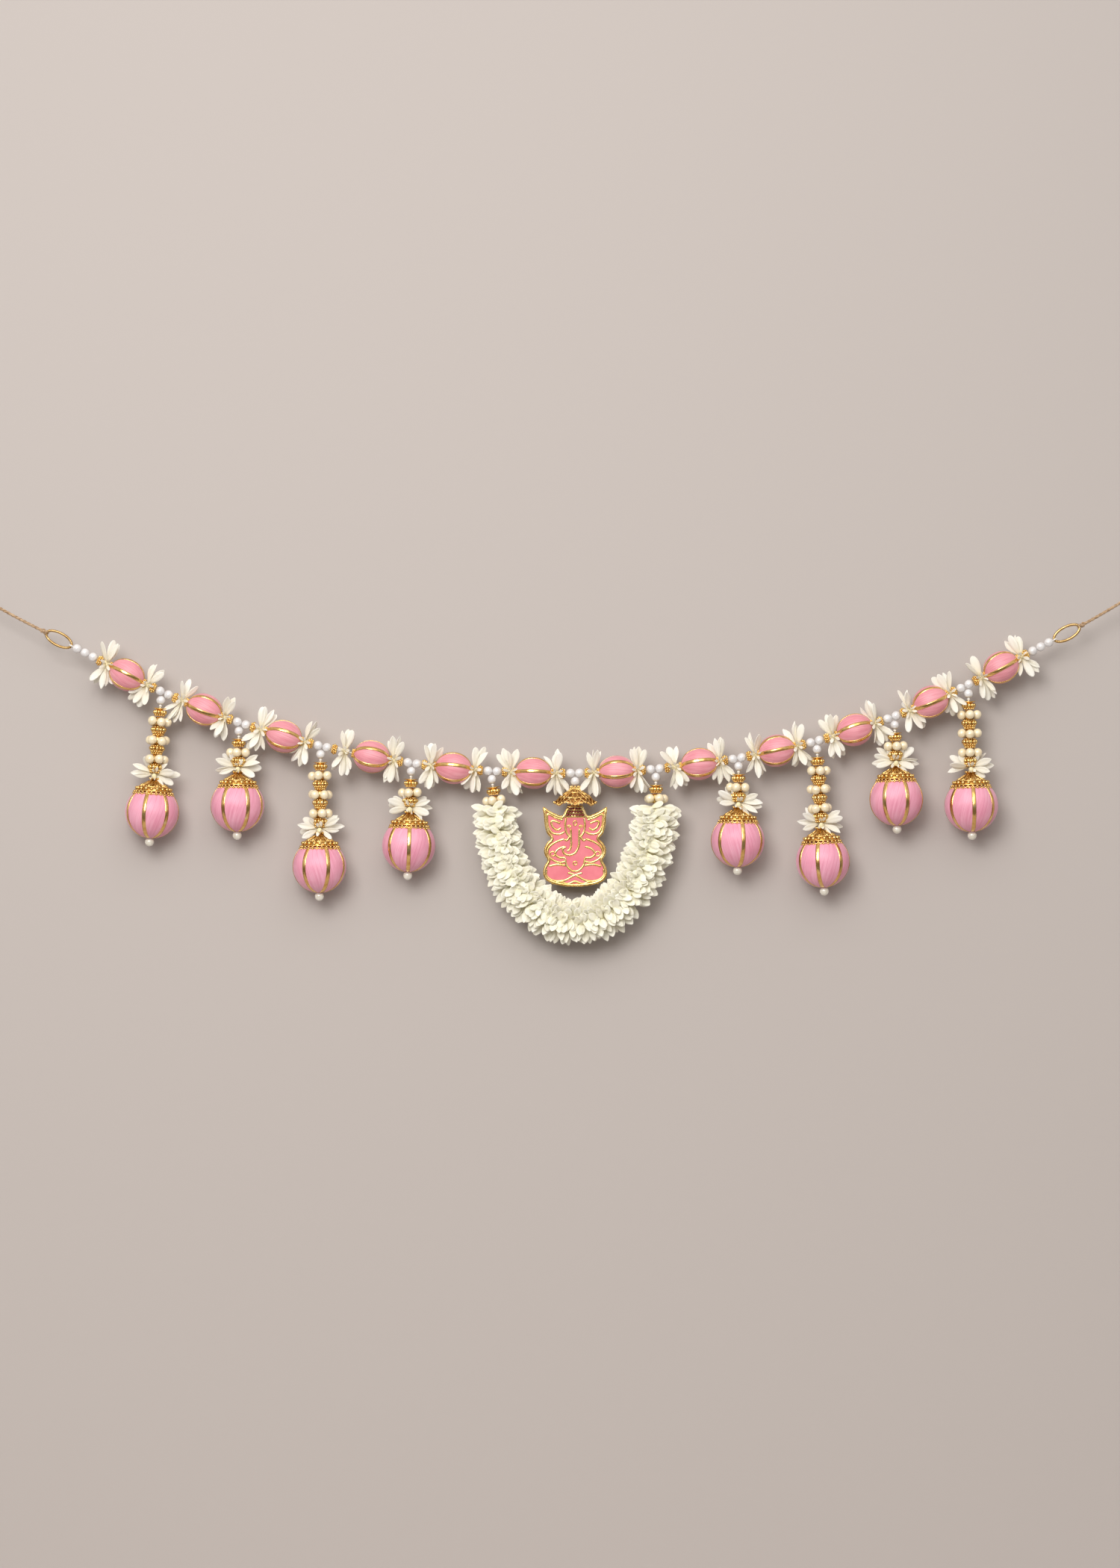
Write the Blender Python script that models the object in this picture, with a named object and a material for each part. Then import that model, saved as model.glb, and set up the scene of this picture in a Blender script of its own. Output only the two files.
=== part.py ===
"""A toran door hanging: a strung line of thread-wound beads, petal flowers and pearls that sags
between two rings, with eight hanging drops, a thick petal garland and a plate pendant under it.

Units are metres, +Z is up and -Y is the side seen from the doorway. The pieces are laid out
from the middle of the span, and one empty moves them so that the origin is in the left loop.
"""

import math
import random

import bmesh
import bpy
import numpy as np
from mathutils import Vector

GAP = 0.0003
SHARP_ANGLE = math.radians(50)

# Thread: its height over the middle of the span is a sum of powers of x / THREAD_UNIT
THREAD_UNIT = 0.400
THREAD_RISE = (0.0010, 0.0018, 0.0781, 0.0017, 0.0125)
END_RUN = math.radians(27.6)
THREAD_HALF = 0.48
THREAD_STEPS = 4001

# Places along the thread, measured on it from the middle of the span
OVAL_AT = (-0.4245, -0.3450, -0.2663, -0.1817, -0.1042, -0.0292,
           0.0490, 0.1267, 0.2004, 0.2760, 0.3520, 0.4257)
CLUSTER_AT = (-0.3856, -0.3077, -0.2288, -0.1431, -0.0676, 0.0098,
              0.0851, 0.1627, 0.2373, 0.3129, 0.3873)

# Thread-wound oval beads
OVAL_HALF = 0.0167
OVAL_R = 0.0150
OVAL_SIDES = 10
OVAL_SHARES = (-1, -0.82, -0.45, 0, 0.45, 0.82, 1)
OVAL_FLATTENING = 0.975

# Pearls, gold spacer beads and petal flowers on the thread
PEARL_R = 0.0043
PEARL_NECK_R = 0.0018
PEARL_WAIST = 0.93
PEARL_RING_AT = 0.0017
PEARL_TOP_SHARE = 0.9
SPACER_LONG = 0.0055
SPACER_R = 0.0050
SPACER_INNER = 0.0087
COLLAR_R = 0.0042
HUB_HALF = 0.0011
HUB_R = 0.0030
HUB_SHARE = 0.55
SPRAY_SIDES = 7
PETAL_LONG = 0.0215
PETAL_WIDE = 0.0075
PETAL_THICK = 0.0014
PETAL_MIDDLE = 0.6
PETAL_SIZES = (0.9, 1.03)
PETAL_LEANS = (6, 15)
LOWEST_LEAN = math.radians(24)
SPRAY_SEED = 100
THIRD_PEARL_DROP = 0.0077

# Both ends of the line, measured on the thread from the last oval bead
END_FLOWER = 0.0212
END_SPACER = {"left": 0.0258, "right": 0.0232}
END_PEARLS = {"left": (0.0359, 0.0444, 0.0529), "right": (0.0333, 0.0418, 0.0503)}
RING_START = {"left": 0.0575, "right": 0.0549}
RING_LONG = 0.0290
RING_WIDE = 0.0145
RING_WIRE_R = 0.00135
RING_STEPS = 18
RING_SIDES = 6

# Jute cords, each tied to its ring and ending in a loop for a nail or a hook
CORD_R = 0.0015
CORD_RISE = {"left": math.radians(28.4), "right": math.radians(31.0)}
CORD_LONG = 0.070
CORD_SAG = 0.0008
CORD_POINTS = 11
EYE_R = 0.0060
EYE_STEPS = 12
EYE_SIDES = 6

# Drops: cluster number, pearl rows on the stem, lean of the foot towards +X in degrees
DROPS = (
    {"cluster": 0, "rows": 3, "lean": -4.6},
    {"cluster": 1, "rows": 1, "lean": -1.0},
    {"cluster": 2, "rows": 3, "lean": -0.5},
    {"cluster": 3, "rows": 1, "lean": -1.9},
    {"cluster": 7, "rows": 1, "lean": -0.6},
    {"cluster": 8, "rows": 3, "lean": 2.9},
    {"cluster": 9, "rows": 1, "lean": 1.3},
    {"cluster": 10, "rows": 3, "lean": 1.5},
)
STEM_SIDES = 10
DISC_AT = 0.0080
DISC_THICK = 0.0010
DISC_NECK = 0.0004
DISC_R = 0.0064
STEM_GOLD_R = 0.0066
STEM_BAND_R = 0.0078
FIRST_ROW_AT = 0.0199
ROW_PITCH = 0.01765
ROW_HALF = 0.0039
ROW_OUTER_R = 0.0119
ROW_VALLEY_R = 0.0084
DROP_FLOWER_AT = 0.0338
DROP_HUB_HALF = 0.0015
DROP_HUB_R = 0.0050
DROP_PETAL_LONG = 0.0200
DROP_PETAL_LEANS = (-4, 10)
DROP_SEED = 200
CAP_TOP_AT = 0.0375
CAP_PROFILE = ((0.0, 0.0040), (0.0035, 0.0056), (0.0066, 0.0108), (0.0098, 0.0155))
CAP_WALL = 0.0010
BALL_AT = 0.0697
BALL_R = 0.0249
BALL_SIDES = 10
BALL_CAP_ANGLES = (6, 17, 31, 45)
BALL_ANGLES = (70, 95, 120, 145, 168)
FOOT_PEARL_AT = 0.0977
FOOT_PEARL_R = 0.0042
FOOT_PEARL_RINGS = ((-0.0012, 0.93), (0.0016, 0.93), (FOOT_PEARL_R, 0.4))

# Garland: the lower half of an ellipse between its two heads, with whorls of petals
HEAD_LEAN = {"left": 7.4, "right": 0.0}
HEAD_CLUSTER = {"left": 4, "right": 6}
HEAD_END = 0.0268
HEAD_END_R = 0.0062
GARLAND_DEPTH = 0.107
GARLAND_BANDS = 30
GARLAND_SIDES = 12
GARLAND_R = 0.0155
GARLAND_DIP = 0.0020
GARLAND_END_R = 0.0080
GARLAND_PETAL_LONG = 0.0085
GARLAND_PETAL_WIDE = 0.0060
GARLAND_PETAL_LEAN = math.radians(25)

# Pendant: a bell-shaped crown cap with a flat figure plate under it
PENDANT_CLUSTER = 5
CROWN_TOP_AT = 0.0046
CROWN_PROFILE = ((0.0, 0.0040), (0.0035, 0.0052), (0.0070, 0.0105), (0.0110, 0.0150),
                 (0.0145, 0.0170), (0.0162, 0.0183))
CROWN_RECESS = 0.0032
CROWN_RECESS_R = 0.0150
CROWN_RECESS_TOP_R = 0.0090
CROWN_LIP = 0.0004
CROWN_SIDES = 12
PLATE_THICK = 0.0030
PLATE_TOP_AT = 0.0225
PLATE_TAB_WIDE = 0.0050
# Right half of the plate's outline from the headdress down: across, below the plate's top
PLATE_HALF = ((0.0070, 0.0000), (0.0092, 0.0048), (0.0120, 0.0098), (0.0180, 0.0080),
              (0.0242, 0.0050), (0.0300, 0.0016), (0.0292, 0.0100), (0.0284, 0.0190),
              (0.0264, 0.0262), (0.0226, 0.0312), (0.0262, 0.0350), (0.0290, 0.0408),
              (0.0284, 0.0466), (0.0258, 0.0516), (0.0288, 0.0572), (0.0300, 0.0640),
              (0.0268, 0.0704), (0.0176, 0.0744), (0.0060, 0.0762))

SIDEWAYS = Vector((0, 1, 0))


def material(name, colour, roughness, metallic=0.0):
    made = bpy.data.materials.new(name)
    made.use_nodes = True
    shader = made.node_tree.nodes["Principled BSDF"]
    shader.inputs["Base Color"].default_value = (*colour, 1.0)
    shader.inputs["Roughness"].default_value = roughness
    shader.inputs["Metallic"].default_value = metallic
    made.diffuse_color = (*colour, 1.0)
    return made


def add_object(name, bm, materials):
    """Turn a closed bmesh into a smooth-shaded object that hangs from the origin's empty."""
    bmesh.ops.recalc_face_normals(bm, faces=bm.faces)
    mesh = bpy.data.meshes.new(name)
    bm.to_mesh(mesh)
    bm.free()
    for each in materials:
        mesh.materials.append(each)
    mesh.shade_smooth()
    mesh.set_sharp_from_angle(angle=SHARP_ANGLE)
    obj = bpy.data.objects.new(name, mesh)
    bpy.context.scene.collection.objects.link(obj)
    obj.parent = origin
    return obj


def loop_of(bm, centre, first, second, radii):
    """A closed loop of points round a centre, with one radius for each point."""
    step = 2 * math.pi / len(radii)
    points = []
    for k, radius in enumerate(radii):
        out = first * math.cos(k * step) + second * math.sin(k * step)
        points.append(bm.verts.new(centre + out * radius))
    return points


def skin(bm, loops, slots, closed=False):
    """Join loops by bands of four-sided faces. Open rows get both ends filled."""
    pairs = list(zip(loops, loops[1:]))
    if closed:
        pairs.append((loops[-1], loops[0]))
    bands = []
    for (here, there), slot in zip(pairs, slots):
        band = []
        for k in range(len(here)):
            n = (k + 1) % len(here)
            face = bm.faces.new((here[k], here[n], there[n], there[k]))
            face.material_index = slot
            band.append(face)
        bands.append(band)
    if not closed:
        bm.faces.new(loops[0]).material_index = slots[0]
        bm.faces.new(loops[-1]).material_index = slots[-1]
    return bands


def grow_petal(bm, face, out, flat, length, width, slot):
    """Draw a petal out of a face: it widens to its middle and closes at its tip."""
    root = [loop.vert for loop in face.loops]
    centre = face.calc_center_median()
    across = out.cross(flat).normalized()
    middle = []
    for vert in root:
        away = vert.co - centre
        side = math.copysign(width / 2, away.dot(across))
        depth = math.copysign(PETAL_THICK / 2, away.dot(flat))
        middle.append(bm.verts.new(centre + out * length * PETAL_MIDDLE + across * side + flat * depth))
    tip = bm.verts.new(centre + out * length)
    bm.faces.remove(face)
    for k in range(4):
        n = (k + 1) % 4
        bm.faces.new((root[k], root[n], middle[n], middle[k])).material_index = slot
        bm.faces.new((middle[k], middle[n], tip)).material_index = slot


def grow_whorl(bm, band, centre, axis, leans, lengths, slot):
    """Petals out of a band's faces, each leaning towards the axis by its own angle."""
    for face, lean, length in zip(band, leans, lengths):
        away = face.calc_center_median() - centre
        radial = (away - axis * away.dot(axis)).normalized()
        out = radial * math.cos(lean) + axis * math.sin(lean)
        flat = axis * math.cos(lean) - radial * math.sin(lean)
        grow_petal(bm, face, out, flat, length, PETAL_WIDE, slot)


# Thread line: its length from the middle of the span, worked out on a fine row of steps
STEPS = np.linspace(-THREAD_HALF, THREAD_HALF, THREAD_STEPS)
RISES = sum(rise * (STEPS / THREAD_UNIT) ** power for power, rise in enumerate(THREAD_RISE))
STEP_LONG = np.hypot(np.diff(STEPS), np.diff(RISES))
ALONG = np.concatenate(([0.0], np.cumsum(STEP_LONG)))
ALONG = ALONG - np.interp(0.0, STEPS, ALONG)


def curve_point(along):
    x = float(np.interp(along, ALONG, STEPS))
    return Vector((x, 0, float(np.interp(along, ALONG, RISES))))


def thread_frame(along):
    """Point, direction towards +X and upward normal of the thread. Past the ovals it is straight."""
    first, last = OVAL_AT[0], OVAL_AT[-1]
    if along < first:
        direction = Vector((math.cos(END_RUN), 0, -math.sin(END_RUN)))
        point = curve_point(first) + direction * (along - first)
    elif along > last:
        direction = Vector((math.cos(END_RUN), 0, math.sin(END_RUN)))
        point = curve_point(last) + direction * (along - last)
    else:
        point = curve_point(along)
        direction = (curve_point(along + 0.001) - curve_point(along - 0.001)).normalized()
    return point, direction, direction.cross(SIDEWAYS)


def strung(bm, stations, sides):
    """Loops of a row that follows the thread: stations of place, radius and slot."""
    loops = []
    for along, radius, _ in stations:
        point, _, up = thread_frame(along)
        loops.append(loop_of(bm, point, -up, SIDEWAYS, [radius] * sides))
    return skin(bm, loops, [slot for _, _, slot in stations[:-1]])


def end_place(side, distance):
    """Place on the thread at a distance outside the last oval bead of one side."""
    if side == "left":
        return OVAL_AT[0] - distance
    return OVAL_AT[-1] + distance


for old in list(bpy.data.objects):
    bpy.data.objects.remove(old)

pink = material("pink_thread", (0.83, 0.20, 0.33), 0.45)
gold = material("gold", (0.78, 0.50, 0.15), 0.30, 1.0)
pearl = material("pearl", (0.86, 0.83, 0.80), 0.20)
warm_pearl = material("warm_pearl", (0.83, 0.68, 0.42), 0.22)
petal = material("petal_cloth", (0.90, 0.88, 0.78), 0.70)
cream = material("cream_petal", (0.86, 0.83, 0.62), 0.75)
jute = material("jute", (0.40, 0.25, 0.13), 0.85)
enamel = material("pink_enamel", (0.84, 0.26, 0.36), 0.30)

origin = bpy.data.objects.new("left_loop_origin", None)
bpy.context.scene.collection.objects.link(origin)


# Rings: flat oval links of wire at both ends of the line
def ring_centre(side):
    return thread_frame(end_place(side, RING_START[side] + RING_LONG / 2))


for side in ("left", "right"):
    point, direction, up = ring_centre(side)
    bm = bmesh.new()
    loops = []
    for k in range(RING_STEPS):
        turn = 2 * math.pi * k / RING_STEPS
        across = direction * math.cos(turn) * (RING_LONG / 2 - RING_WIRE_R)
        rise = up * math.sin(turn) * (RING_WIDE / 2 - RING_WIRE_R)
        outward = (across.normalized() * abs(math.cos(turn)) * RING_WIDE
                   + up * math.sin(turn) * RING_LONG).normalized()
        radii = [RING_WIRE_R] * RING_SIDES
        loops.append(loop_of(bm, point + across + rise, outward, SIDEWAYS, radii))
    skin(bm, loops, [0] * RING_STEPS, closed=True)
    add_object(f"ring_{side}", bm, [gold])


# Cords: taut runs outward from the rings, each closed by a tied loop past the picture's edge
def cord_route(side):
    """Points of the cord's middle from the ring outward, with a slight sag."""
    outward = -1 if side == "left" else 1
    edge = thread_frame(end_place(side, RING_START[side] + RING_LONG + GAP))[0]
    run = Vector((outward * math.cos(CORD_RISE[side]), 0, math.sin(CORD_RISE[side])))
    points = []
    for k in range(CORD_POINTS):
        share = k / (CORD_POINTS - 1)
        sag = CORD_SAG * 4 * share * (1 - share)
        points.append(edge + run * CORD_LONG * share - Vector((0, 0, sag)))
    return points, run


def eye_centre(side):
    points, run = cord_route(side)
    return points[-1] + run * (GAP + CORD_R + EYE_R)


for side in ("left", "right"):
    points, run = cord_route(side)
    curve = bpy.data.curves.new(f"cord_{side}", "CURVE")
    curve.dimensions = "3D"
    curve.bevel_depth = CORD_R
    curve.bevel_resolution = 2
    curve.use_fill_caps = True
    spline = curve.splines.new("POLY")
    spline.points.add(len(points) - 1)
    for slot, place in zip(spline.points, points):
        slot.co = (*place, 1.0)
    curve.materials.append(jute)
    cord = bpy.data.objects.new(f"cord_{side}", curve)
    bpy.context.scene.collection.objects.link(cord)
    cord.parent = origin

    bm = bmesh.new()
    centre = eye_centre(side)
    rise = run.cross(SIDEWAYS)
    loops = []
    for k in range(EYE_STEPS):
        turn = 2 * math.pi * k / EYE_STEPS
        outward = run * math.cos(turn) + rise * math.sin(turn)
        loops.append(loop_of(bm, centre + outward * EYE_R, outward, SIDEWAYS, [CORD_R] * EYE_SIDES))
    skin(bm, loops, [0] * EYE_STEPS, closed=True)
    add_object(f"loop_{side}", bm, [jute])

origin.location = -eye_centre("left")


# Oval beads: wound thread over an egg-shaped core
for number, along in enumerate(OVAL_AT, start=1):
    point, direction, up = thread_frame(along)
    bm = bmesh.new()
    loops = []
    for share in OVAL_SHARES:
        radius = OVAL_R * math.sqrt(1 - (share * OVAL_FLATTENING) ** 2)
        centre = point + direction * share * OVAL_HALF
        loops.append(loop_of(bm, centre, up, SIDEWAYS, [radius] * OVAL_SIDES))
    skin(bm, loops, [0] * len(OVAL_SHARES))
    add_object(f"oval_bead_{number:02d}", bm, [pink])


# Sprays: what is strung between two ovals, flower, spacer, two pearls, spacer and flower
def pearl_stations(along):
    radius = PEARL_R * PEARL_WAIST
    return [(along - PEARL_RING_AT, radius, 1), (along + PEARL_RING_AT, radius, 1)]


def flower_leans(rng):
    """Leans towards the oval, more for the first and last petal, which clear what hangs below."""
    leans = [math.radians(rng.uniform(*PETAL_LEANS)) for _ in range(SPRAY_SIDES)]
    leans[0] = leans[-1] = LOWEST_LEAN
    return leans


def petal_lengths(rng, count, length):
    return [length * rng.uniform(*PETAL_SIZES) for _ in range(count)]


def add_spray(number):
    rng = random.Random(SPRAY_SEED + number)
    middle = CLUSTER_AT[number - 1]
    left_end = OVAL_AT[number - 1] + OVAL_HALF + GAP
    right_end = OVAL_AT[number] - OVAL_HALF - GAP
    outer = SPACER_INNER + SPACER_LONG
    left_hub = left_end + HUB_SHARE * (middle - outer - left_end)
    right_hub = right_end + HUB_SHARE * (middle + outer - right_end)
    stations = [
        (left_end, COLLAR_R, 0),
        (left_hub - HUB_HALF, HUB_R, 2),
        (left_hub + HUB_HALF, HUB_R, 0),
        (middle - outer, SPACER_R, 0),
        (middle - SPACER_INNER, SPACER_R, 1),
        *pearl_stations(middle - PEARL_R),
        (middle, PEARL_NECK_R, 1),
        *pearl_stations(middle + PEARL_R),
        (middle + SPACER_INNER, SPACER_R, 0),
        (middle + outer, SPACER_R, 0),
        (right_hub - HUB_HALF, HUB_R, 2),
        (right_hub + HUB_HALF, HUB_R, 0),
        (right_end, COLLAR_R, 0),
    ]
    bm = bmesh.new()
    bands = strung(bm, stations, SPRAY_SIDES)
    for band, hub, towards in ((bands[1], left_hub, -1), (bands[-2], right_hub, 1)):
        point, direction, _ = thread_frame(hub)
        leans = flower_leans(rng)
        lengths = petal_lengths(rng, SPRAY_SIDES, PETAL_LONG)
        grow_whorl(bm, band, point, direction * towards, leans, lengths, 2)
    add_object(f"spray_{number:02d}", bm, [gold, pearl, petal])


def add_end_spray(side, number):
    """The row outside the last oval: flower, spacer and three pearls up to the ring."""
    rng = random.Random(SPRAY_SEED + number)
    start = OVAL_HALF + GAP
    spacer = END_SPACER[side]
    rows = [
        (start, COLLAR_R, 0),
        (END_FLOWER - HUB_HALF, HUB_R, 2),
        (END_FLOWER + HUB_HALF, HUB_R, 0),
        (spacer, SPACER_R, 0),
        (spacer + SPACER_LONG, SPACER_R, 1),
    ]
    for place in END_PEARLS[side]:
        rows += pearl_stations(place)
        rows.append((place + PEARL_R, PEARL_NECK_R, 1))
    rows.pop()
    rows.append((RING_START[side] - GAP, PEARL_NECK_R, 1))
    stations = [(end_place(side, distance), radius, slot) for distance, radius, slot in rows]
    bm = bmesh.new()
    bands = strung(bm, stations, SPRAY_SIDES)
    point, direction, _ = thread_frame(end_place(side, END_FLOWER))
    towards = direction if side == "left" else -direction
    leans = flower_leans(rng)
    lengths = petal_lengths(rng, SPRAY_SIDES, PETAL_LONG)
    grow_whorl(bm, bands[1], point, towards, leans, lengths, 2)
    add_object(f"spray_{number:02d}", bm, [gold, pearl, petal])


add_end_spray("left", 0)
for number in range(1, len(CLUSTER_AT) + 1):
    add_spray(number)
add_end_spray("right", len(CLUSTER_AT) + 1)


# Third pearls: each hangs under the two of its cluster and carries what is below
def third_pearl(cluster):
    point, _, up = thread_frame(CLUSTER_AT[cluster])
    return point - up * THIRD_PEARL_DROP


def hanging_frame(cluster, lean):
    """Start, direction down and the across direction of what hangs from a cluster."""
    angle = math.radians(lean)
    down = Vector((math.sin(angle), 0, -math.cos(angle)))
    across = Vector((math.cos(angle), 0, math.sin(angle)))
    return third_pearl(cluster), down, across


def turned(bm, frame, stations, sides):
    """Loops round a straight hanging axis: stations of depth, radius or pair of radii, and slot."""
    start, down, across = frame
    loops = []
    for depth, radius, _ in stations:
        pair = radius if isinstance(radius, tuple) else (radius, radius)
        radii = [pair[k % 2] for k in range(sides)]
        loops.append(loop_of(bm, start + down * depth, across, SIDEWAYS, radii))
    return skin(bm, loops, [slot for _, _, slot in stations[:-1]])


def third_pearl_stations():
    return [(-PEARL_R * PEARL_TOP_SHARE, PEARL_NECK_R, 1), *pearl_stations(0.0)]


def column_stations(rows):
    """Third pearl, disc, and rows of pearls between gold bands."""
    stations = third_pearl_stations()
    stations += [
        (PEARL_R, PEARL_NECK_R, 1),
        (DISC_AT - DISC_NECK, PEARL_NECK_R, 0),
        (DISC_AT, DISC_R, 0),
        (DISC_AT + DISC_THICK, STEM_GOLD_R, 0),
    ]
    for row in range(rows):
        centre = FIRST_ROW_AT + row * ROW_PITCH
        stations.append((centre - ROW_HALF, STEM_GOLD_R if row == 0 else STEM_BAND_R, 2))
        stations.append((centre, (ROW_OUTER_R, ROW_VALLEY_R), 2))
        stations.append((centre + ROW_HALF, STEM_BAND_R, 0))
    return stations


def ball_stations(centre_at, radius, angles, slot):
    rows = []
    for degrees in angles:
        angle = math.radians(degrees)
        rows.append((centre_at - radius * math.cos(angle), radius * math.sin(angle), slot))
    return rows


def add_drop(number, drop):
    rng = random.Random(DROP_SEED + number)
    frame = hanging_frame(drop["cluster"], drop["lean"])
    start, down, _ = frame
    longer = (drop["rows"] - 1) * ROW_PITCH
    flower_at = DROP_FLOWER_AT + longer

    bm = bmesh.new()
    stations = column_stations(drop["rows"])
    stations += [
        (flower_at - DROP_HUB_HALF, DROP_HUB_R, 3),
        (flower_at + DROP_HUB_HALF, DROP_HUB_R, 3),
        (CAP_TOP_AT + longer - GAP, PEARL_NECK_R, 0),
    ]
    bands = turned(bm, frame, stations, STEM_SIDES)
    alternate = bands[-2][::2]
    leans = [math.radians(rng.uniform(*DROP_PETAL_LEANS)) for _ in alternate]
    lengths = petal_lengths(rng, len(alternate), DROP_PETAL_LONG)
    grow_whorl(bm, alternate, start + down * flower_at, down, leans, lengths, 3)
    add_object(f"drop_stem_{number}", bm, [gold, pearl, warm_pearl, petal])

    ball_at = BALL_AT + longer
    rim = math.radians(BALL_CAP_ANGLES[-1])
    rim_at = ball_at - (BALL_R + GAP) * math.cos(rim)
    rim_r = (BALL_R + GAP) * math.sin(rim)
    top = CAP_TOP_AT + longer
    outer = [(top + depth, radius, 0) for depth, radius in CAP_PROFILE]
    outer.append((rim_at, rim_r + CAP_WALL, 0))
    inner = ball_stations(ball_at, BALL_R + GAP, BALL_CAP_ANGLES[::-1], 0)
    bm = bmesh.new()
    turned(bm, frame, outer + inner, BALL_SIDES)
    add_object(f"drop_cap_{number}", bm, [gold])

    stations = ball_stations(ball_at, BALL_R, BALL_CAP_ANGLES + BALL_ANGLES, 0)
    stations[-1] = (*stations[-1][:2], 1)
    foot = FOOT_PEARL_AT + longer
    stations += [(foot + depth, FOOT_PEARL_R * share, 1) for depth, share in FOOT_PEARL_RINGS]
    bm = bmesh.new()
    turned(bm, frame, stations, BALL_SIDES)
    add_object(f"drop_ball_{number}", bm, [pink, pearl])


for number, drop in enumerate(DROPS, start=1):
    add_drop(number, drop)


# Garland heads: a pearl, a disc and one row of pearls over each end of the garland
def head_frame(side):
    return hanging_frame(HEAD_CLUSTER[side], HEAD_LEAN[side])


for side in ("left", "right"):
    bm = bmesh.new()
    stations = column_stations(1)
    stations.append((HEAD_END, HEAD_END_R, 0))
    turned(bm, head_frame(side), stations, STEM_SIDES)
    add_object(f"garland_head_{side}", bm, [gold, pearl, warm_pearl])


# Jasmine garland: a thick U of packed petals, built as bands of loops on half an ellipse
def garland_end(side):
    start, down, _ = head_frame(side)
    return start + down * (HEAD_END + GAP)


def garland_frame(share):
    """Point and direction on the lower half of the garland's ellipse, for a share of its turn."""
    left, right = garland_end("left"), garland_end("right")
    middle, half = (left + right) / 2, (right - left) / 2
    turn = math.pi * share
    down = Vector((0, 0, -GARLAND_DEPTH))
    point = middle - half * math.cos(turn) + down * math.sin(turn)
    direction = half * math.sin(turn) + down * math.cos(turn)
    return point, direction.normalized()


bm = bmesh.new()
loops = []
for k in range(GARLAND_BANDS + 1):
    point, direction = garland_frame(k / GARLAND_BANDS)
    radius = GARLAND_R - GARLAND_DIP * (k % 2)
    if k == 0:
        radius, direction = GARLAND_END_R, head_frame("left")[1]
    elif k == GARLAND_BANDS:
        radius, direction = GARLAND_END_R, -head_frame("right")[1]
    loops.append(loop_of(bm, point, direction.cross(SIDEWAYS), SIDEWAYS, [radius] * GARLAND_SIDES))
bands = skin(bm, loops, [0] * GARLAND_BANDS)
for k in range(1, GARLAND_BANDS - 1, 2):
    point, direction = garland_frame((k + 0.5) / GARLAND_BANDS)
    for face in bands[k][(k // 2) % 2::2]:
        away = (face.calc_center_median() - point).normalized()
        out = away * math.cos(GARLAND_PETAL_LEAN) + direction * math.sin(GARLAND_PETAL_LEAN)
        flat = direction * math.cos(GARLAND_PETAL_LEAN) - away * math.sin(GARLAND_PETAL_LEAN)
        grow_petal(bm, face, out, flat, GARLAND_PETAL_LONG, GARLAND_PETAL_WIDE, 0)
add_object("jasmine_garland", bm, [cream])


# Pendant: the crown cap carries the plate by a tab in its recess
pendant = hanging_frame(PENDANT_CLUSTER, 0.0)
rim_at = CROWN_TOP_AT + CROWN_PROFILE[-1][0]
stations = third_pearl_stations()
stations += [(CROWN_TOP_AT + depth, radius, 0) for depth, radius in CROWN_PROFILE]
stations += [
    (rim_at - CROWN_LIP, CROWN_RECESS_R, 0),
    (rim_at - CROWN_RECESS, CROWN_RECESS_TOP_R, 0),
]
bm = bmesh.new()
turned(bm, pendant, stations, CROWN_SIDES)
add_object("pendant_crown", bm, [gold, pearl])

start, down, across = pendant
tab_top = rim_at - CROWN_RECESS + GAP
outline = [(PLATE_TAB_WIDE / 2, tab_top), (PLATE_TAB_WIDE / 2, PLATE_TOP_AT)]
outline += [(side, PLATE_TOP_AT + below) for side, below in PLATE_HALF]
outline += [(-side, below) for side, below in reversed(outline)]
bm = bmesh.new()
back = SIDEWAYS * (PLATE_THICK / 2)
front_loop = [bm.verts.new(start + across * side + down * below - back) for side, below in outline]
back_loop = [bm.verts.new(start + across * side + down * below + back) for side, below in outline]
skin(bm, [front_loop, back_loop], [0])
bm.faces.ensure_lookup_table()
for face in bm.faces:
    if len(face.verts) > 4 and face.calc_center_median().y < 0:
        face.material_index = 1
add_object("pendant_plate", bm, [gold, enamel])
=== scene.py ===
import random
from math import atan2, cos, pi, radians, sin, sqrt

import bmesh
import bpy
import numpy as np
from mathutils import Matrix, Quaternion, Vector
from mathutils.geometry import tessellate_polygon


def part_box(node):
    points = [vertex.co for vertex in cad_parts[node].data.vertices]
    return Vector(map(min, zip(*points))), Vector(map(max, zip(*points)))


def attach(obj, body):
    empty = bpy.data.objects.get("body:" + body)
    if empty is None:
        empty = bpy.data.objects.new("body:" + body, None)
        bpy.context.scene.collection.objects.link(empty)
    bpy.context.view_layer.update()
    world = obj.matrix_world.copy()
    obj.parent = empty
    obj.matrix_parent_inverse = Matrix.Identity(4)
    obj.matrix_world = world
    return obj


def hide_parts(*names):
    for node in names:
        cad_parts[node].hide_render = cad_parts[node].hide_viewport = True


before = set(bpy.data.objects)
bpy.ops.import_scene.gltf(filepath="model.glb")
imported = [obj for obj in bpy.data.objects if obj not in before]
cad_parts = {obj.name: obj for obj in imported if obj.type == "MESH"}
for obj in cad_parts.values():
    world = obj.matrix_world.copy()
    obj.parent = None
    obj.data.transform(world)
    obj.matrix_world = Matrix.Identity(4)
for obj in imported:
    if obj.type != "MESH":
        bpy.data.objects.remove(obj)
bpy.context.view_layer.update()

# The line that everything is strung on sags between two rings. Its height is a sum of powers of
# the distance from the middle of the span, and past the last oval beads it runs on straight.
LINE_HALF = 0.48
LINE_UNIT = 0.400
LINE_RISE = (0.0010, 0.0018, 0.0781, 0.0017, 0.0125)
OVAL_AT = (-0.4245, -0.3450, -0.2663, -0.1817, -0.1042, -0.0292,
           0.0490, 0.1267, 0.2004, 0.2760, 0.3520, 0.4257)

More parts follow.
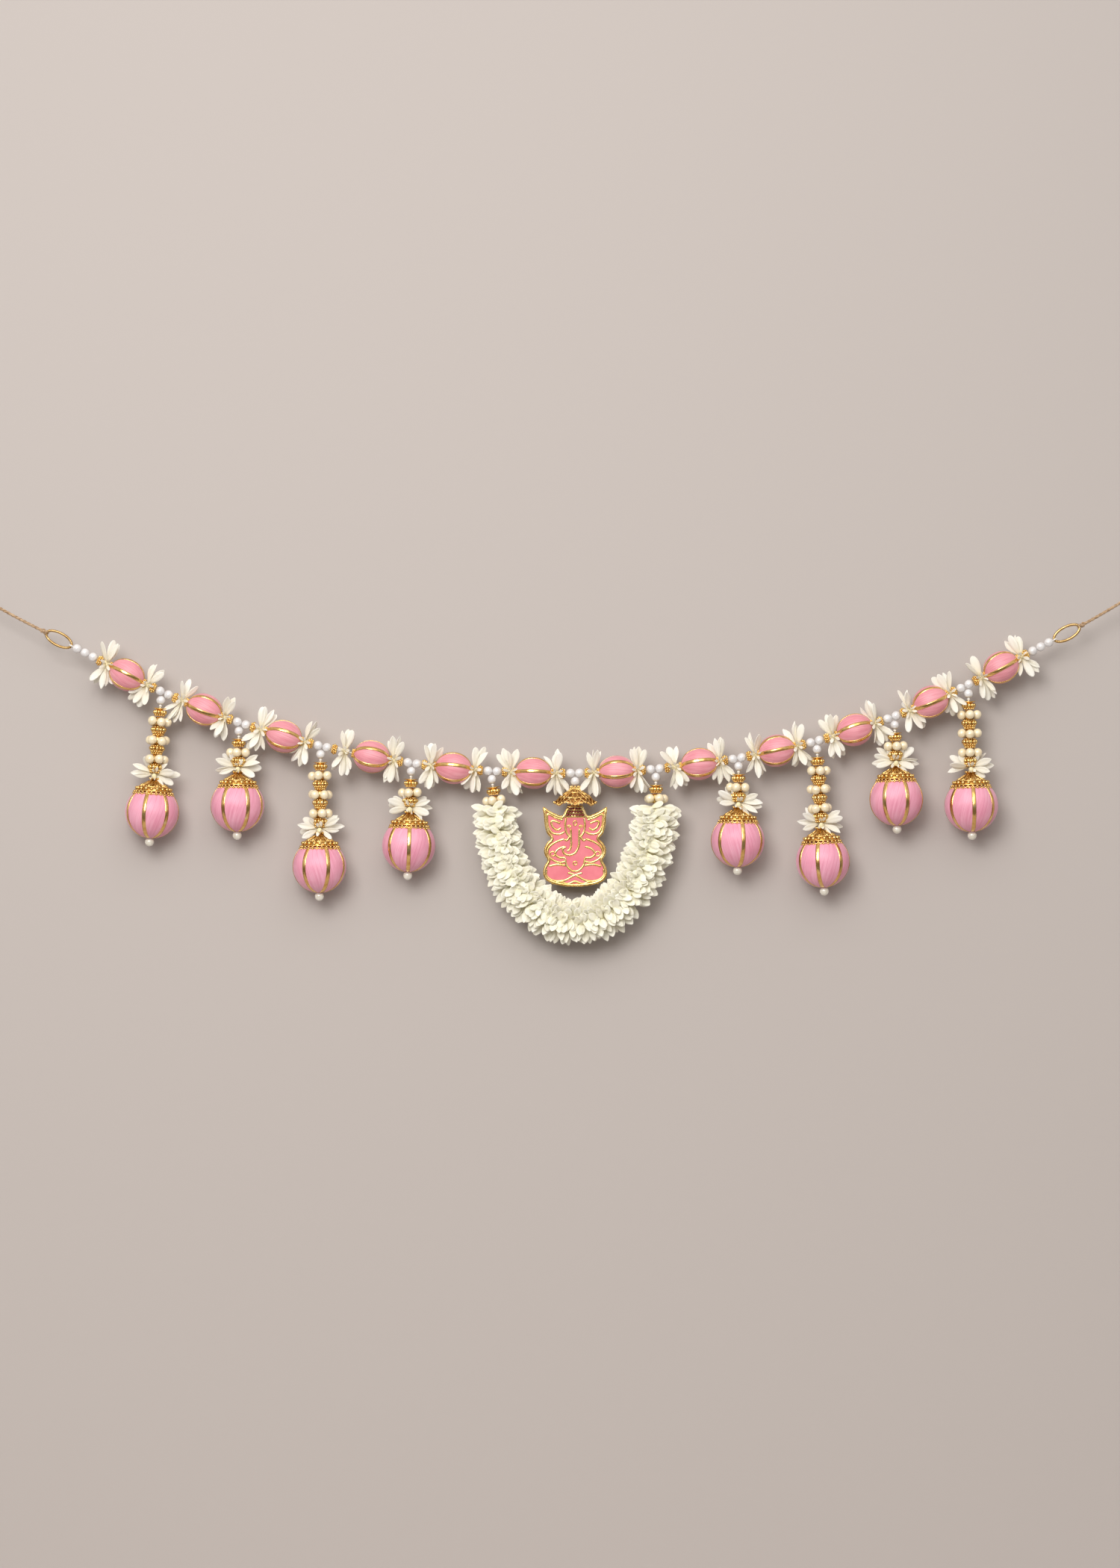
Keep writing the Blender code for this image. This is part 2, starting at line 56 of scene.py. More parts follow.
steps = np.linspace(-LINE_HALF, LINE_HALF, 4001)
rises = sum(rise * (steps / LINE_UNIT) ** power for power, rise in enumerate(LINE_RISE))
along_line = np.concatenate(([0.0], np.cumsum(np.hypot(np.diff(steps), np.diff(rises)))))
along_line -= np.interp(0.0, steps, along_line)


def curve_point(along):
    x = float(np.interp(along, along_line, steps))
    return Vector((x, 0, float(np.interp(along, along_line, rises))))


lowest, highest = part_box("oval_bead_06")
SPAN = (lowest + highest) / 2 - curve_point(OVAL_AT[5])


# Camera: square to the hanging from far off, with the photograph's whole frame of 1.05 m by
# 1.47 m in view at the line.
FRAME_HIGH = 1.470
FRAME_MIDDLE = (-0.0042, -0.0091)
LENS = 85
SENSOR = 36


def placed(name, data):
    """A new object of the data, in the scene."""
    obj = bpy.data.objects.new(name, data)
    bpy.context.scene.collection.objects.link(obj)
    return obj


camera_data = bpy.data.cameras.new("camera")
camera_data.lens = LENS
camera_data.sensor_width = SENSOR
camera = placed("camera", camera_data)
camera.location = SPAN + Vector((FRAME_MIDDLE[0], -FRAME_HIGH * LENS / SENSOR, FRAME_MIDDLE[1]))
camera.rotation_euler = (radians(90), 0, 0)
bpy.context.scene.camera = camera


# Stage: a plain pale wall close behind the hanging, seen from the front only, a plain pale floor
# far under it, and soft light from the upper left.
WALL_AT = 0.027
FLOOR_AT = -1.30
WALL_COLOUR = (0.488, 0.442, 0.415)
STAGE_SHINE = 0.2


def feed(made, sockets):
    """Gives sockets of a node another node's output or a plain value."""
    for socket, value in sockets.items():
        if isinstance(value, bpy.types.NodeSocket):
            made.id_data.links.new(value, made.inputs[socket])
        else:
            made.inputs[socket].default_value = value


def node(tree, kind, sockets, output=0, **settings):
    """One output of a new node."""
    made = tree.nodes.new(kind)
    for setting, value in settings.items():
        setattr(made, setting, value)
    feed(made, sockets)
    return made.outputs[output]


def new_finish(name, colour, roughness, metallic=0.0, shine=0.5):
    """A material with its tree and shader, for nodes to be added to."""
    made = bpy.data.materials.new(name)
    made.use_nodes = True
    shader = made.node_tree.nodes["Principled BSDF"]
    feed(shader, {"Base Color": (*colour, 1), "Roughness": roughness,
                  "Metallic": metallic, "Specular IOR Level": shine})
    return made, made.node_tree, shader


def stage_sheet(name, corners, finish):
    mesh = bpy.data.meshes.new(name)
    mesh.from_pydata(corners, [], [(0, 1, 2, 3)])
    mesh.materials.append(finish)
    placed(name, mesh)


wall_finish, wall_tree, wall_shader = new_finish("wall_plaster", WALL_COLOUR, 0.9, 0.0, STAGE_SHINE)
wall_mix = {"Fac": node(wall_tree, "ShaderNodeNewGeometry", {}, "Backfacing"),
            1: wall_shader.outputs["BSDF"], 2: node(wall_tree, "ShaderNodeBsdfTransparent", {})}
feed(wall_tree.nodes["Material Output"], {"Surface": node(wall_tree, "ShaderNodeMixShader", wall_mix)})
stage_sheet("wall", [(-4, WALL_AT, FLOOR_AT), (5, WALL_AT, FLOOR_AT), (5, WALL_AT, 3), (-4, WALL_AT, 3)],
            wall_finish)
stage_sheet("floor", [(-2, -1.2, FLOOR_AT), (3, -1.2, FLOOR_AT), (3, 0.4, FLOOR_AT), (-2, 0.4, FLOOR_AT)],
            new_finish("floor_paint", (0.56, 0.52, 0.49), 0.85, 0.0, STAGE_SHINE)[0])


def soft_light(name, place, size, power, colour):
    light = bpy.data.lights.new(name, "AREA")
    light.size = size
    light.energy = power
    light.color = colour
    obj = placed(name, light)
    obj.location = SPAN + Vector(place)
    obj.rotation_euler = (-Vector(place)).to_track_quat("-Z", "Y").to_euler()


soft_light("key_light", (-0.68, -2.5, 1.00), 1.3, 45, (1.0, 0.99, 0.98))
soft_light("top_light", (0.0, -2.2, 1.45), 2.4, 26, (1.0, 0.99, 0.97))
world = bpy.data.worlds.new("room")
world.use_nodes = True
room = world.node_tree
room_place = node(room, "ShaderNodeTexCoord", {}, "Generated")
height = node(room, "ShaderNodeSeparateXYZ", {"Vector": room_place}, "Z")
brightness = {"Value": height, "From Min": -0.06, "From Max": 0.22, "To Min": 0.19, "To Max": 0.70}
feed(room.nodes["Background"], {"Strength": node(room, "ShaderNodeMapRange", brightness),
                                "Color": (1.0, 0.955, 0.92, 1)})
bpy.context.scene.world = world
bpy.context.scene.view_settings.view_transform = "Standard"


# Cords: two-ply jute, 3 mm thick, pulled taut from the rings to a tied loop just outside the
# view. The fibres are twisted, and a small knot holds each cord on its ring.
DEEP = Vector((0, 1, 0))
LINE_END_SLOPE = radians(27.6)
CORD_R = 0.0015
CORD_RISE = {"left": radians(28.4), "right": radians(31.0)}
CORD_LONG = 0.070
CORD_SAG = 0.0008
CORD_POINTS = 11
CORD_STEP = 0.0004
TWIST_PITCH = 0.0085
EYE_R = 0.0060
KNOT_SIZE = 0.00115
KNOT_STEPS = 72
CORD_GROOVE = 0.30
RING_START = {"left": 0.0575, "right": 0.0549}
RING_LONG = 0.0290
GAP = 0.0003


def line_at(along):
    """Point, direction towards +X and upward normal of the line."""
    first, last = OVAL_AT[0], OVAL_AT[-1]
    if along < first:
        direction = Vector((cos(LINE_END_SLOPE), 0, -sin(LINE_END_SLOPE)))
        point = curve_point(first) + direction * (along - first)
    elif along > last:
        direction = Vector((cos(LINE_END_SLOPE), 0, sin(LINE_END_SLOPE)))
        point = curve_point(last) + direction * (along - last)
    else:
        point = curve_point(along)
        direction = (curve_point(along + 0.001) - curve_point(along - 0.001)).normalized()
    return SPAN + point, direction, direction.cross(DEEP)


def outside(side, distance):
    """Place on the line at a distance outside the last oval bead of one side."""
    return OVAL_AT[0] - distance if side == "left" else OVAL_AT[-1] + distance


def noise(tree, scale, detail=3.0, stretch=(1, 1, 1), source="Object"):
    """Noise on the coordinates of one kind, stretched first."""
    place = {"Vector": node(tree, "ShaderNodeTexCoord", {}, source), "Scale": stretch}
    sockets = {"Vector": node(tree, "ShaderNodeMapping", place), "Scale": scale, "Detail": detail}
    return node(tree, "ShaderNodeTexNoise", sockets)


def ramp(tree, value, stops):
    """Colours over a value: stops of place and colour."""
    made = tree.nodes.new("ShaderNodeValToRGB")
    feed(made, {"Fac": value})
    while len(made.color_ramp.elements) < len(stops):
        made.color_ramp.elements.new(0.5)
    for element, (place, colour) in zip(made.color_ramp.elements, stops):
        element.position = place
        element.color = (*colour, 1)
    return made.outputs["Color"]


def bump(shader, height, strength, distance):
    relief = {"Height": height, "Strength": strength, "Distance": distance}
    feed(shader, {"Normal": node(shader.id_data, "ShaderNodeBump", relief)})


def joined(parts):
    """One mesh of several, each moved by its own matrix first."""
    bm = bmesh.new()
    for mesh, place in parts:
        copy = mesh.copy()
        copy.transform(place)
        bm.from_mesh(copy)
        bpy.data.meshes.remove(copy)
    made = bpy.data.meshes.new("joined")
    bm.to_mesh(made)
    bm.free()
    return made


def add_piece(name, parts, finish, replaced=()):
    """A finished piece in place, of a mesh or of parts to join: it rides and stands for its nodes."""
    mesh = parts if isinstance(parts, bpy.types.Mesh) else joined(parts)
    mesh.name = name
    mesh.materials.clear()
    mesh.materials.append(finish)
    mesh.shade_smooth()
    obj = placed(name, mesh)
    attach(obj, "root")
    if replaced:
        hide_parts(*replaced)
    return obj


def outward(bm):
    """The built shape as a mesh whose faces look outward."""
    bmesh.ops.recalc_face_normals(bm, faces=bm.faces)
    mesh = bpy.data.meshes.new("shape")
    bm.to_mesh(mesh)
    bm.free()
    return mesh


def rows_mesh(all_rows, closed=False):
    """One mesh of tubes, each given as rows of points. Closed ones join end to end."""
    bm = bmesh.new()
    for rows in all_rows:
        rings = [[bm.verts.new(spot) for spot in row] for row in rows]
        for here, there in zip(rings, rings[1:] + rings[:1] if closed else rings[1:]):
            for k in range(len(here)):
                n = (k + 1) % len(here)
                bm.faces.new((here[k], here[n], there[n], there[k]))
        if not closed:
            bm.faces.new(rings[0][::-1])
            bm.faces.new(rings[-1])
    return outward(bm)


def angles(count):
    """Equal steps of a full turn."""
    return [2 * pi * k / count for k in range(count)]


def circle_points(centre, first, second, radius, count):
    return [centre + (first * cos(t) + second * sin(t)) * radius for t in angles(count)]


def twisted(points, radius, plies, groove, pitch, closed=False, sides=20):
    """A rope of plies that wind round a route in a plane square to DEEP."""
    count = len(points)
    rows, along = [], 0.0
    length = sum((points[i] - points[i - 1]).length for i in range(0 if closed else 1, count))
    if closed:
        pitch = length / round(length / pitch)
    for i, point in enumerate(points):
        before = points[i - 1] if closed or i else point
        after = points[(i + 1) % count] if closed or i < count - 1 else point
        normal = (after - before).normalized().cross(DEEP)
        if i:
            along += (point - points[i - 1]).length
        phase = 2 * pi * along / pitch
        row = []
        for angle in angles(sides):
            bulge = abs(cos(plies / 2 * (angle - phase)))
            reach = radius * (1 - groove * (1 - bulge))
            row.append(point + normal * (reach * cos(angle)) + DEEP * (reach * sin(angle)))
        rows.append(row)
    return rows_mesh([rows], closed)


jute, jute_tree, jute_shader = new_finish("jute_fibre", (0.42, 0.28, 0.16), 0.85)
jute_streaks = noise(jute_tree, 900, 4, (0.25, 1, 1))
jute_shades = [(0.3, (0.22, 0.125, 0.06)), (0.5, (0.42, 0.27, 0.15)), (0.72, (0.62, 0.45, 0.28))]
feed(jute_shader, {"Base Color": ramp(jute_tree, jute_streaks, jute_shades), "Sheen Weight": 0.3})
bump(jute_shader, jute_streaks, 0.6, 0.0004)


def cord_route(side):
    """Points of the cord's middle from the ring outward, and the way that it runs."""
    outward = -1 if side == "left" else 1
    start = line_at(outside(side, RING_START[side] + RING_LONG + GAP))[0]
    run = Vector((outward * cos(CORD_RISE[side]), 0, sin(CORD_RISE[side])))
    route = []
    for k in range(CORD_POINTS):
        share = k / (CORD_POINTS - 1)
        sag = CORD_SAG * 4 * share * (1 - share)
        route.append(start + run * CORD_LONG * share - Vector((0, 0, sag)))
    return route, run


def finer(route, step):
    """The route again with points about a step apart."""
    gaps = [(b - a).length for a, b in zip(route, route[1:])]
    places = np.concatenate(([0.0], np.cumsum(gaps)))
    wanted = np.linspace(0, places[-1], int(places[-1] / step) + 1)
    axes = [np.interp(wanted, places, [p[axis] for p in route]) for axis in range(3)]
    return [Vector(p) for p in zip(*axes)]


def baked(host):
    """The finished shape of an object as a plain mesh. The object goes."""
    graph = bpy.context.evaluated_depsgraph_get()
    mesh = bpy.data.meshes.new_from_object(host.evaluated_get(graph))
    bpy.data.objects.remove(host)
    return mesh


def knot_mesh(centre, run, thick):
    """A tied knot: a threefold over-and-under turn of the cord, pulled small."""
    curve = bpy.data.curves.new("knot", "CURVE")
    curve.dimensions = "3D"
    curve.bevel_depth = thick
    curve.bevel_resolution = 4
    spline = curve.splines.new("POLY")
    spline.points.add(KNOT_STEPS - 1)
    spline.use_cyclic_u = True
    rise = run.cross(DEEP) * 1.1
    for spot, t in zip(spline.points, angles(KNOT_STEPS)):
        a = sin(t) + 2 * sin(2 * t)
        b = cos(t) - 2 * cos(2 * t)
        spot.co = (*(centre + (run * a + DEEP * b + rise * sin(3 * t)) * KNOT_SIZE), 1)
    return baked(placed("knot", curve))


for side in ("left", "right"):
    route, run = cord_route(side)
    fine_route = finer(route, CORD_STEP)
    cord_mesh = twisted(fine_route, CORD_R, 2, CORD_GROOVE, TWIST_PITCH)
    cord = add_piece(f"jute_cord_{side}", cord_mesh, jute, [f"cord_{side}"])
    eye_centre = route[-1] + run * (GAP + CORD_R + EYE_R)
    eye_points = circle_points(eye_centre, run, run.cross(DEEP), EYE_R, 90)
    eye_mesh = twisted(eye_points, CORD_R, 2, CORD_GROOVE, TWIST_PITCH, closed=True)
    fixed = [add_piece(f"cord_loop_{side}", eye_mesh, jute, [f"loop_{side}"])]
    knots = (("loop", route[-1] - run * 0.001, 0.8), ("ring", route[0] + run * 0.0005, 0.75))
    for where, centre, share in knots:
        knot = knot_mesh(centre, run, CORD_R * share)
        fixed.append(add_piece(f"{where}_knot_{side}", knot, jute))


# Rings: flat oval links of gold-coloured wire, each twisted from two strands. The line's thread
# is looped round one end and the cord is knotted round the other.
RING_WIDE = 0.0145
RING_WIRE_R = 0.00135
RING_STEPS = 150
RING_PITCH = 0.0036
RING_GROOVE = {"left": 0.28, "right": 0.12}


def gold_finish(name, colour, dark, roughness, grain):
    """Plated metal: brighter and darker patches, fine grain and small scratches."""
    made, tree, shader = new_finish(name, colour, roughness, 1.0)
    patches = ramp(tree, noise(tree, 220), [(0.25, dark), (0.6, colour), (0.85, (1.0, 0.86, 0.52))])
    worn = {"Value": noise(tree, 900, 2), "To Min": roughness * 0.7, "To Max": roughness * 1.4}
    feed(shader, {"Base Color": patches, "Roughness": node(tree, "ShaderNodeMapRange", worn)})
    bump(shader, noise(tree, grain, 2), 0.25, 0.00025)
    return made


ring_gold = gold_finish("worn_gold", (0.66, 0.44, 0.19), (0.38, 0.23, 0.08), 0.34, 1400)
for side in ("left", "right"):
    centre, direction, up = line_at(outside(side, RING_START[side] + RING_LONG / 2))
    along_half = direction * (RING_LONG / 2 - RING_WIRE_R)
    across_half = up * (RING_WIDE / 2 - RING_WIRE_R)
    points = circle_points(centre, along_half, across_half, 1, RING_STEPS)
    wire = twisted(points, RING_WIRE_R, 2, RING_GROOVE[side], RING_PITCH, closed=True)
    add_piece(f"gold_ring_{side}", wire, ring_gold, [f"ring_{side}"])


# Thread: a fine white thread under everything on the line, seen only between the pieces, and
# looped round the inner end of each ring.
THREAD_R = 0.0006
THREAD_GROOVE = 0.2
THREAD_PITCH = 0.003
RING_LOOP_R = 0.0023
line_ends = [outside(side, RING_START[side] + 0.0002) for side in ("left", "right")]
thread_points = [line_at(along)[0] for along in np.linspace(*line_ends, 400)]
thread_finish, thread_tree, thread_shader = new_finish("white_thread", (0.85, 0.83, 0.78), 0.6)
bump(thread_shader, noise(thread_tree, 1500), 0.4, 0.0003)
threads = [twisted(thread_points, THREAD_R, 2, THREAD_GROOVE, THREAD_PITCH, sides=8)]
for side in ("left", "right"):
    centre, direction, _ = line_at(outside(side, RING_START[side] + RING_WIRE_R))
    threads.append(twisted(circle_points(centre, direction, DEEP, RING_LOOP_R, 40),
                           THREAD_R * 1.3, 2, 0.25, 0.002, closed=True, sides=10))


# Oval beads: egg-shaped cores wound end to end with silky pink thread, with flat gold ribbons
# over the winding. Each is strung a little turned, so its ribbons show at their own height.
OVAL_HALF = 0.0167
OVAL_R = 0.0150
OVAL_RIBBONS = 6
OVAL_RIBBON_TURN = (5, -9, 22, -33, 12, 7, -20, 14, 2, 18, -6, -4)
RIBBON_WIDE = 0.0033
RIBBON_PROUD = 0.00040
WINDS = 44
STRAND_RELIEF = 0.00006
STRANDS_A_WIND = 3
WAVE_LENGTH = 2 * pi / 20
OVAL_SKEW = 0.12


def wound_mesh(profile, winds, relief, skew, rng, bars=26):
    """A turned body along +X: profile gives its radius for a share from -1 to 1 of its half length.
    The winding's strands lean by skew from end to end, and UV runs round and along it."""
    bm = bmesh.new()
    uv = bm.loops.layers.uv.new("winding")
    columns = winds * 2
    heights = [relief * (1 if k % 2 else -1) + rng.uniform(-relief, relief) * 0.8 for k in range(columns)]
    rows = []
    for i in range(bars + 1):
        share = -cos(pi * (0.03 + 0.94 * i / bars))
        x, radius = profile(share)
        row = []
        for k, rise in enumerate(heights):
            angle = 2 * pi * k / columns + skew * share
            reach = radius + rise * min(1, radius / 0.01)
            row.append(bm.verts.new((x, reach * cos(angle), reach * sin(angle))))
        rows.append(row)
    for i in range(bars):
        for k in range(columns):
            n = (k + 1) % columns
            face = bm.faces.new((rows[i][k], rows[i][n], rows[i + 1][n], rows[i + 1][k]))
            spots = ((k, i), (k + 1, i), (k + 1, i + 1), (k, i + 1))
            for loop, (round_at, along_at) in zip(face.loops, spots):
                loop[uv].uv = (round_at / columns, along_at / bars)
    bm.faces.new(rows[0][::-1])
    bm.faces.new(rows[-1])
    return outward(bm)


def ribbon_rows(profile, turn, wide, proud, bars=22):
    """Points of one flat ribbon along a meridian of a turned body, as rows of a closed outline."""
    rows = []
    for i in range(bars + 1):
        share = -cos(pi * (0.06 + 0.88 * i / bars))
        x, radius = profile(share)
        half = min(wide / 2, radius * 0.40)
        row = []
        for across, lift in ((-1, -0.4), (-1, 0.7), (-0.5, 1), (0.5, 1), (1, 0.7), (1, -0.4)):
            angle = turn + across * half / max(radius, 0.001)
            reach = radius + proud * lift
            row.append(Vector((x, reach * cos(angle), reach * sin(angle))))
        rows.append(row)
    return rows


def axes_matrix(point, x_axis, z_hint, size=(1, 1, 1)):
    """Places a shape with its +X along one direction and its +Z near another."""
    x_axis = x_axis.normalized()
    y_axis = z_hint.cross(x_axis).normalized()
    z_axis = x_axis.cross(y_axis)
    turned = Matrix((x_axis, y_axis, z_axis)).transposed().to_4x4()
    return Matrix.Translation(point) @ turned @ Matrix.Diagonal((*size, 1))


def oval_profile(share):
    return share * OVAL_HALF, OVAL_R * sqrt(max(0.0, 1 - (share * 0.98) ** 2)) ** 0.96


def added(tree, first, weight, second, other_weight):
    """Weighted sum of two values."""
    scaled = node(tree, "ShaderNodeMath", {0: second, 1: other_weight}, operation="MULTIPLY")
    return node(tree, "ShaderNodeMath", {0: first, 1: weight, 2: scaled}, operation="MULTIPLY_ADD")


def thread_winding(name, deep, middle, light, winds):
    """Silky wound thread: fine strands along the winding, slow changes of shade, soft sheen."""
    made, tree, shader = new_finish(name, middle, 0.42)
    wave = {"Vector": node(tree, "ShaderNodeTexCoord", {}, "UV"), "Distortion": 2.5, "Detail": 1.0,
            "Detail Scale": 3.0, "Scale": winds * STRANDS_A_WIND * WAVE_LENGTH}
    strands = node(tree, "ShaderNodeTexWave", wave, "Fac")
    streaks = noise(tree, 1.0, 2, (winds * 2.2, 2.2, 1), "UV")
    slow = noise(tree, 60, 2)
    mixed = added(tree, added(tree, streaks, 0.65, slow, 0.35), 1.0, strands, 0.10)
    shades = ramp(tree, mixed, [(0.40, deep), (0.56, middle), (0.72, light)])
    feed(shader, {"Base Color": shades, "Sheen Weight": 0.35, "Sheen Roughness": 0.4,
                  "Sheen Tint": (1.0, 0.80, 0.88, 1), "Anisotropic": 0.5})
    bump(shader, added(tree, strands, 0.6, streaks, 0.4), 0.25, 0.0003)
    return made


oval_rng = random.Random(11)
oval_thread = thread_winding("rose_thread", (0.68, 0.22, 0.265), (0.77, 0.30, 0.345), (0.84, 0.395, 0.44),
                             WINDS)
ribbon_gold = gold_finish("ribbon_foil", (0.88, 0.58, 0.22), (0.70, 0.40, 0.12), 0.20, 700)
bodies, ribbons = [], []
for along, turn in zip(OVAL_AT, OVAL_RIBBON_TURN):
    point, direction, up = line_at(along)
    place = axes_matrix(point, direction, up)
    bodies.append((wound_mesh(oval_profile, WINDS, STRAND_RELIEF, OVAL_SKEW, oval_rng), place))
    for k in range(OVAL_RIBBONS):
        lean = radians(turn + k * 360 / OVAL_RIBBONS + oval_rng.uniform(-5, 5) * (k > 0))
        towards_viewer = -pi if (place.to_3x3() @ DEEP).y > 0 else 0
        rows = ribbon_rows(oval_profile, towards_viewer - lean, RIBBON_WIDE, RIBBON_PROUD)
        ribbons.append([[place @ spot for spot in row] for row in rows])
ovals = [f"oval_bead_{number:02d}" for number in range(1, len(OVAL_AT) + 1)]
add_piece("oval_bead_winding", bodies, oval_thread, ovals)
add_piece("oval_bead_ribbons", rows_mesh(ribbons), ribbon_gold)


# Spacers: granulated gold rondelles beside each cluster of pearls, and narrow granulated collars
# at the ends of the oval beads. Each is rings of little balls soldered round a core.
CLUSTER_AT = (-0.3856, -0.3077, -0.2288, -0.1431, -0.0676, 0.0098,
              0.0851, 0.1627, 0.2373, 0.3129, 0.3873)
SPACER_LONG = 0.0055
SPACER_INNER = 0.0087
COLLAR_OUT = 0.0006
HUB_SHARE = 0.55
END_FLOWER = 0.0212
UP = Vector((0, 0, 1))
END_SPACER = {"left": 0.0258, "right": 0.0232}


def group_tree(name, inputs):
    """A tree of Geometry Nodes with named inputs, the inputs' identifiers and their outputs."""
    tree = bpy.data.node_groups.new(name, "GeometryNodeTree")
    sockets = {}
    for label, kind in inputs.items():
        socket = tree.interface.new_socket(label, in_out="INPUT", socket_type="NodeSocket" + kind)
        sockets[label] = socket.identifier
    tree.interface.new_socket("Geometry", in_out="OUTPUT", socket_type="NodeSocketGeometry")
    return tree, sockets, tree.nodes.new("NodeGroupInput").outputs


def finish_tree(tree, copies, finish):
    """Makes the copies real, gives them their material and hands them out."""
    real = node(tree, "GeometryNodeRealizeInstances", {"Geometry": copies})
    dressed = node(tree, "GeometryNodeSetMaterial", {"Geometry": real, "Material": finish})
    feed(tree.nodes.new("NodeGroupOutput"), {"Geometry": dressed})


def grown(mesh, grower, given):
    """Plain mesh of what a tree makes of a mesh, with its inputs given."""
    tree, sockets = grower
    host = placed("host", mesh)
    modifier = host.modifiers.new("tree", "NODES")
    modifier.node_group = tree
    for label, value in given.items():
        modifier[sockets[label]] = value
    return baked(host)


def granule_tree():
    """Little balls on a circle round +X, with inputs for their count, the circle and the balls."""
    tree, sockets, given = group_tree("granule_ring", {
        "Count": "Int", "Ring radius": "Float", "Ball radius": "Float", "Place": "Float", "Long": "Float",
        "Finish": "Material"})
    round_x = {"Vertices": given["Count"], "Radius": given["Ring radius"]}
    little = {"Segments": 8, "Rings": 5, "Radius": given["Ball radius"]}
    size = {"X": 1.0, "Y": 1.0, "Z": given["Long"]}
    copied = {"Points": node(tree, "GeometryNodeMeshCircle", round_x),
              "Instance": node(tree, "GeometryNodeMeshUVSphere", little),
              "Scale": node(tree, "ShaderNodeCombineXYZ", size)}
    moved = {"Geometry": node(tree, "GeometryNodeInstanceOnPoints", copied),
             "Rotation": (0, radians(90), 0),
             "Translation": node(tree, "ShaderNodeCombineXYZ", {"X": given["Place"]})}
    finish_tree(tree, node(tree, "GeometryNodeTransform", moved), given["Finish"])
    return tree, sockets


gold = gold_finish("granulated_gold", (0.95, 0.67, 0.26), (0.68, 0.39, 0.11), 0.25, 1400)
GRANULES = granule_tree()


def granules(count, ring, ball, place=0.0, long=1.0):
    """Plain mesh of one ring of granules round +X."""
    given = {"Count": count, "Ring radius": ring, "Ball radius": ball, "Place": place, "Long": long,
             "Finish": gold}
    return grown(bpy.data.meshes.new("granules"), GRANULES, given)


def turned_mesh(outline, sides=24):
    """A closed body turned round +X from an outline of (place, radius)."""
    return rows_mesh([[circle_points(Vector((place, 0, 0)), DEEP, UP, radius, sides)
                       for place, radius in outline]])


def granulated(half, core, rings):
    """A core with its rings of granules: rows of count, circle, ball, place and length."""
    outline = [(-half, core * 0.7), (-half * 0.8, core), (half * 0.8, core), (half, core * 0.7)]
    parts = [(turned_mesh(outline, 16), Matrix())]
    parts += [(granules(*ring), Matrix()) for ring in rings]
    return joined(parts)


rondelle = granulated(0.0026, 0.0034, [
    (11, 0.0041, 0.00112, 0.0), (10, 0.0034, 0.00095, 0.0017), (10, 0.0034, 0.00095, -0.0017)])
collar = granulated(0.0013, 0.0032, [
    (13, 0.0036, 0.00085, COLLAR_OUT), (13, 0.0036, 0.00085, -COLLAR_OUT)])
spacer_places, collar_places, hub_places = [], [], []
outer = SPACER_INNER + SPACER_LONG
for number, middle in enumerate(CLUSTER_AT):
    left_end = OVAL_AT[number] + OVAL_HALF + GAP
    right_end = OVAL_AT[number + 1] - OVAL_HALF - GAP
    spacer_places += [middle - SPACER_INNER - SPACER_LONG / 2, middle + SPACER_INNER + SPACER_LONG / 2]
    collar_places += [left_end + COLLAR_OUT, right_end - COLLAR_OUT]
    hub_places.append((left_end + HUB_SHARE * (middle - outer - left_end), -1))
    hub_places.append((right_end + HUB_SHARE * (middle + outer - right_end), 1))
for side in ("left", "right"):
    spacer_places.append(outside(side, END_SPACER[side] + SPACER_LONG / 2))
    collar_places.append(outside(side, OVAL_HALF + GAP + COLLAR_OUT))
    hub_places.append((outside(side, END_FLOWER), 1 if side == "left" else -1))


def on_line(mesh, places, rng):
    """The shape at each place on the line, turned round it by chance."""
    made = []
    for along in places:
        point, direction, up = line_at(along)
        spin = Matrix.Rotation(rng.uniform(0, 6.28), 4, "X")
        made.append((mesh, axes_matrix(point, direction, up) @ spin))
    return made


spacer_rng = random.Random(12)
add_piece("gold_spacers", on_line(rondelle, spacer_places, spacer_rng), gold)
add_piece("oval_collars", on_line(collar, collar_places, spacer_rng), gold)


# White pearls: round plastic pearls with a soft lustre, two on the line and one under them in
# each cluster, and three at either end.
PEARL_R = 0.0043
THIRD_PEARL_DROP = 0.0077
END_PEARLS = {"left": (0.0359, 0.0444, 0.0529), "right": (0.0333, 0.0418, 0.0503)}


def pearl_finish(name, body, shade):
    """Pearl: a milky body with faint cloudy shades, under a clear glossy coat."""
    made, tree, shader = new_finish(name, body, 0.28)
    clouds = ramp(tree, noise(tree, 260, 2), [(0.30, shade), (0.62, body)])
    feed(shader, {"Base Color": clouds, "Coat Weight": 1.0, "Coat Roughness": 0.10, "Coat IOR": 1.7})
    bump(shader, noise(tree, 500, 2), 0.10, 0.0003)
    return made


def round_ball(radius, bars=4, end=0.12, sides=8):
    """A ball, or one granule by itself."""
    angle = [pi * (end + (1 - 2 * end) * k / bars) for k in range(bars + 1)]
    return turned_mesh([(-radius * cos(a), radius * sin(a)) for a in angle], sides)


white_pearl = pearl_finish("white_pearl", (0.80, 0.78, 0.77), (0.66, 0.63, 0.62))
pearl = round_ball(PEARL_R, 10, 0.06, 18)
pearl_rng = random.Random(13)
pearl_places = []
for middle in CLUSTER_AT:
    pearl_places += [middle - PEARL_R, middle + PEARL_R]
for side in ("left", "right"):
    pearl_places += [outside(side, distance) for distance in END_PEARLS[side]]
white_pearls = on_line(pearl, pearl_places, pearl_rng)


def third_pearl(cluster):
    point, _, up = line_at(CLUSTER_AT[cluster])
    return point - up * THIRD_PEARL_DROP


for cluster in range(len(CLUSTER_AT)):
    white_pearls.append((pearl, axes_matrix(third_pearl(cluster), UP, DEEP)))
add_piece("white_pearls", white_pearls, white_pearl)


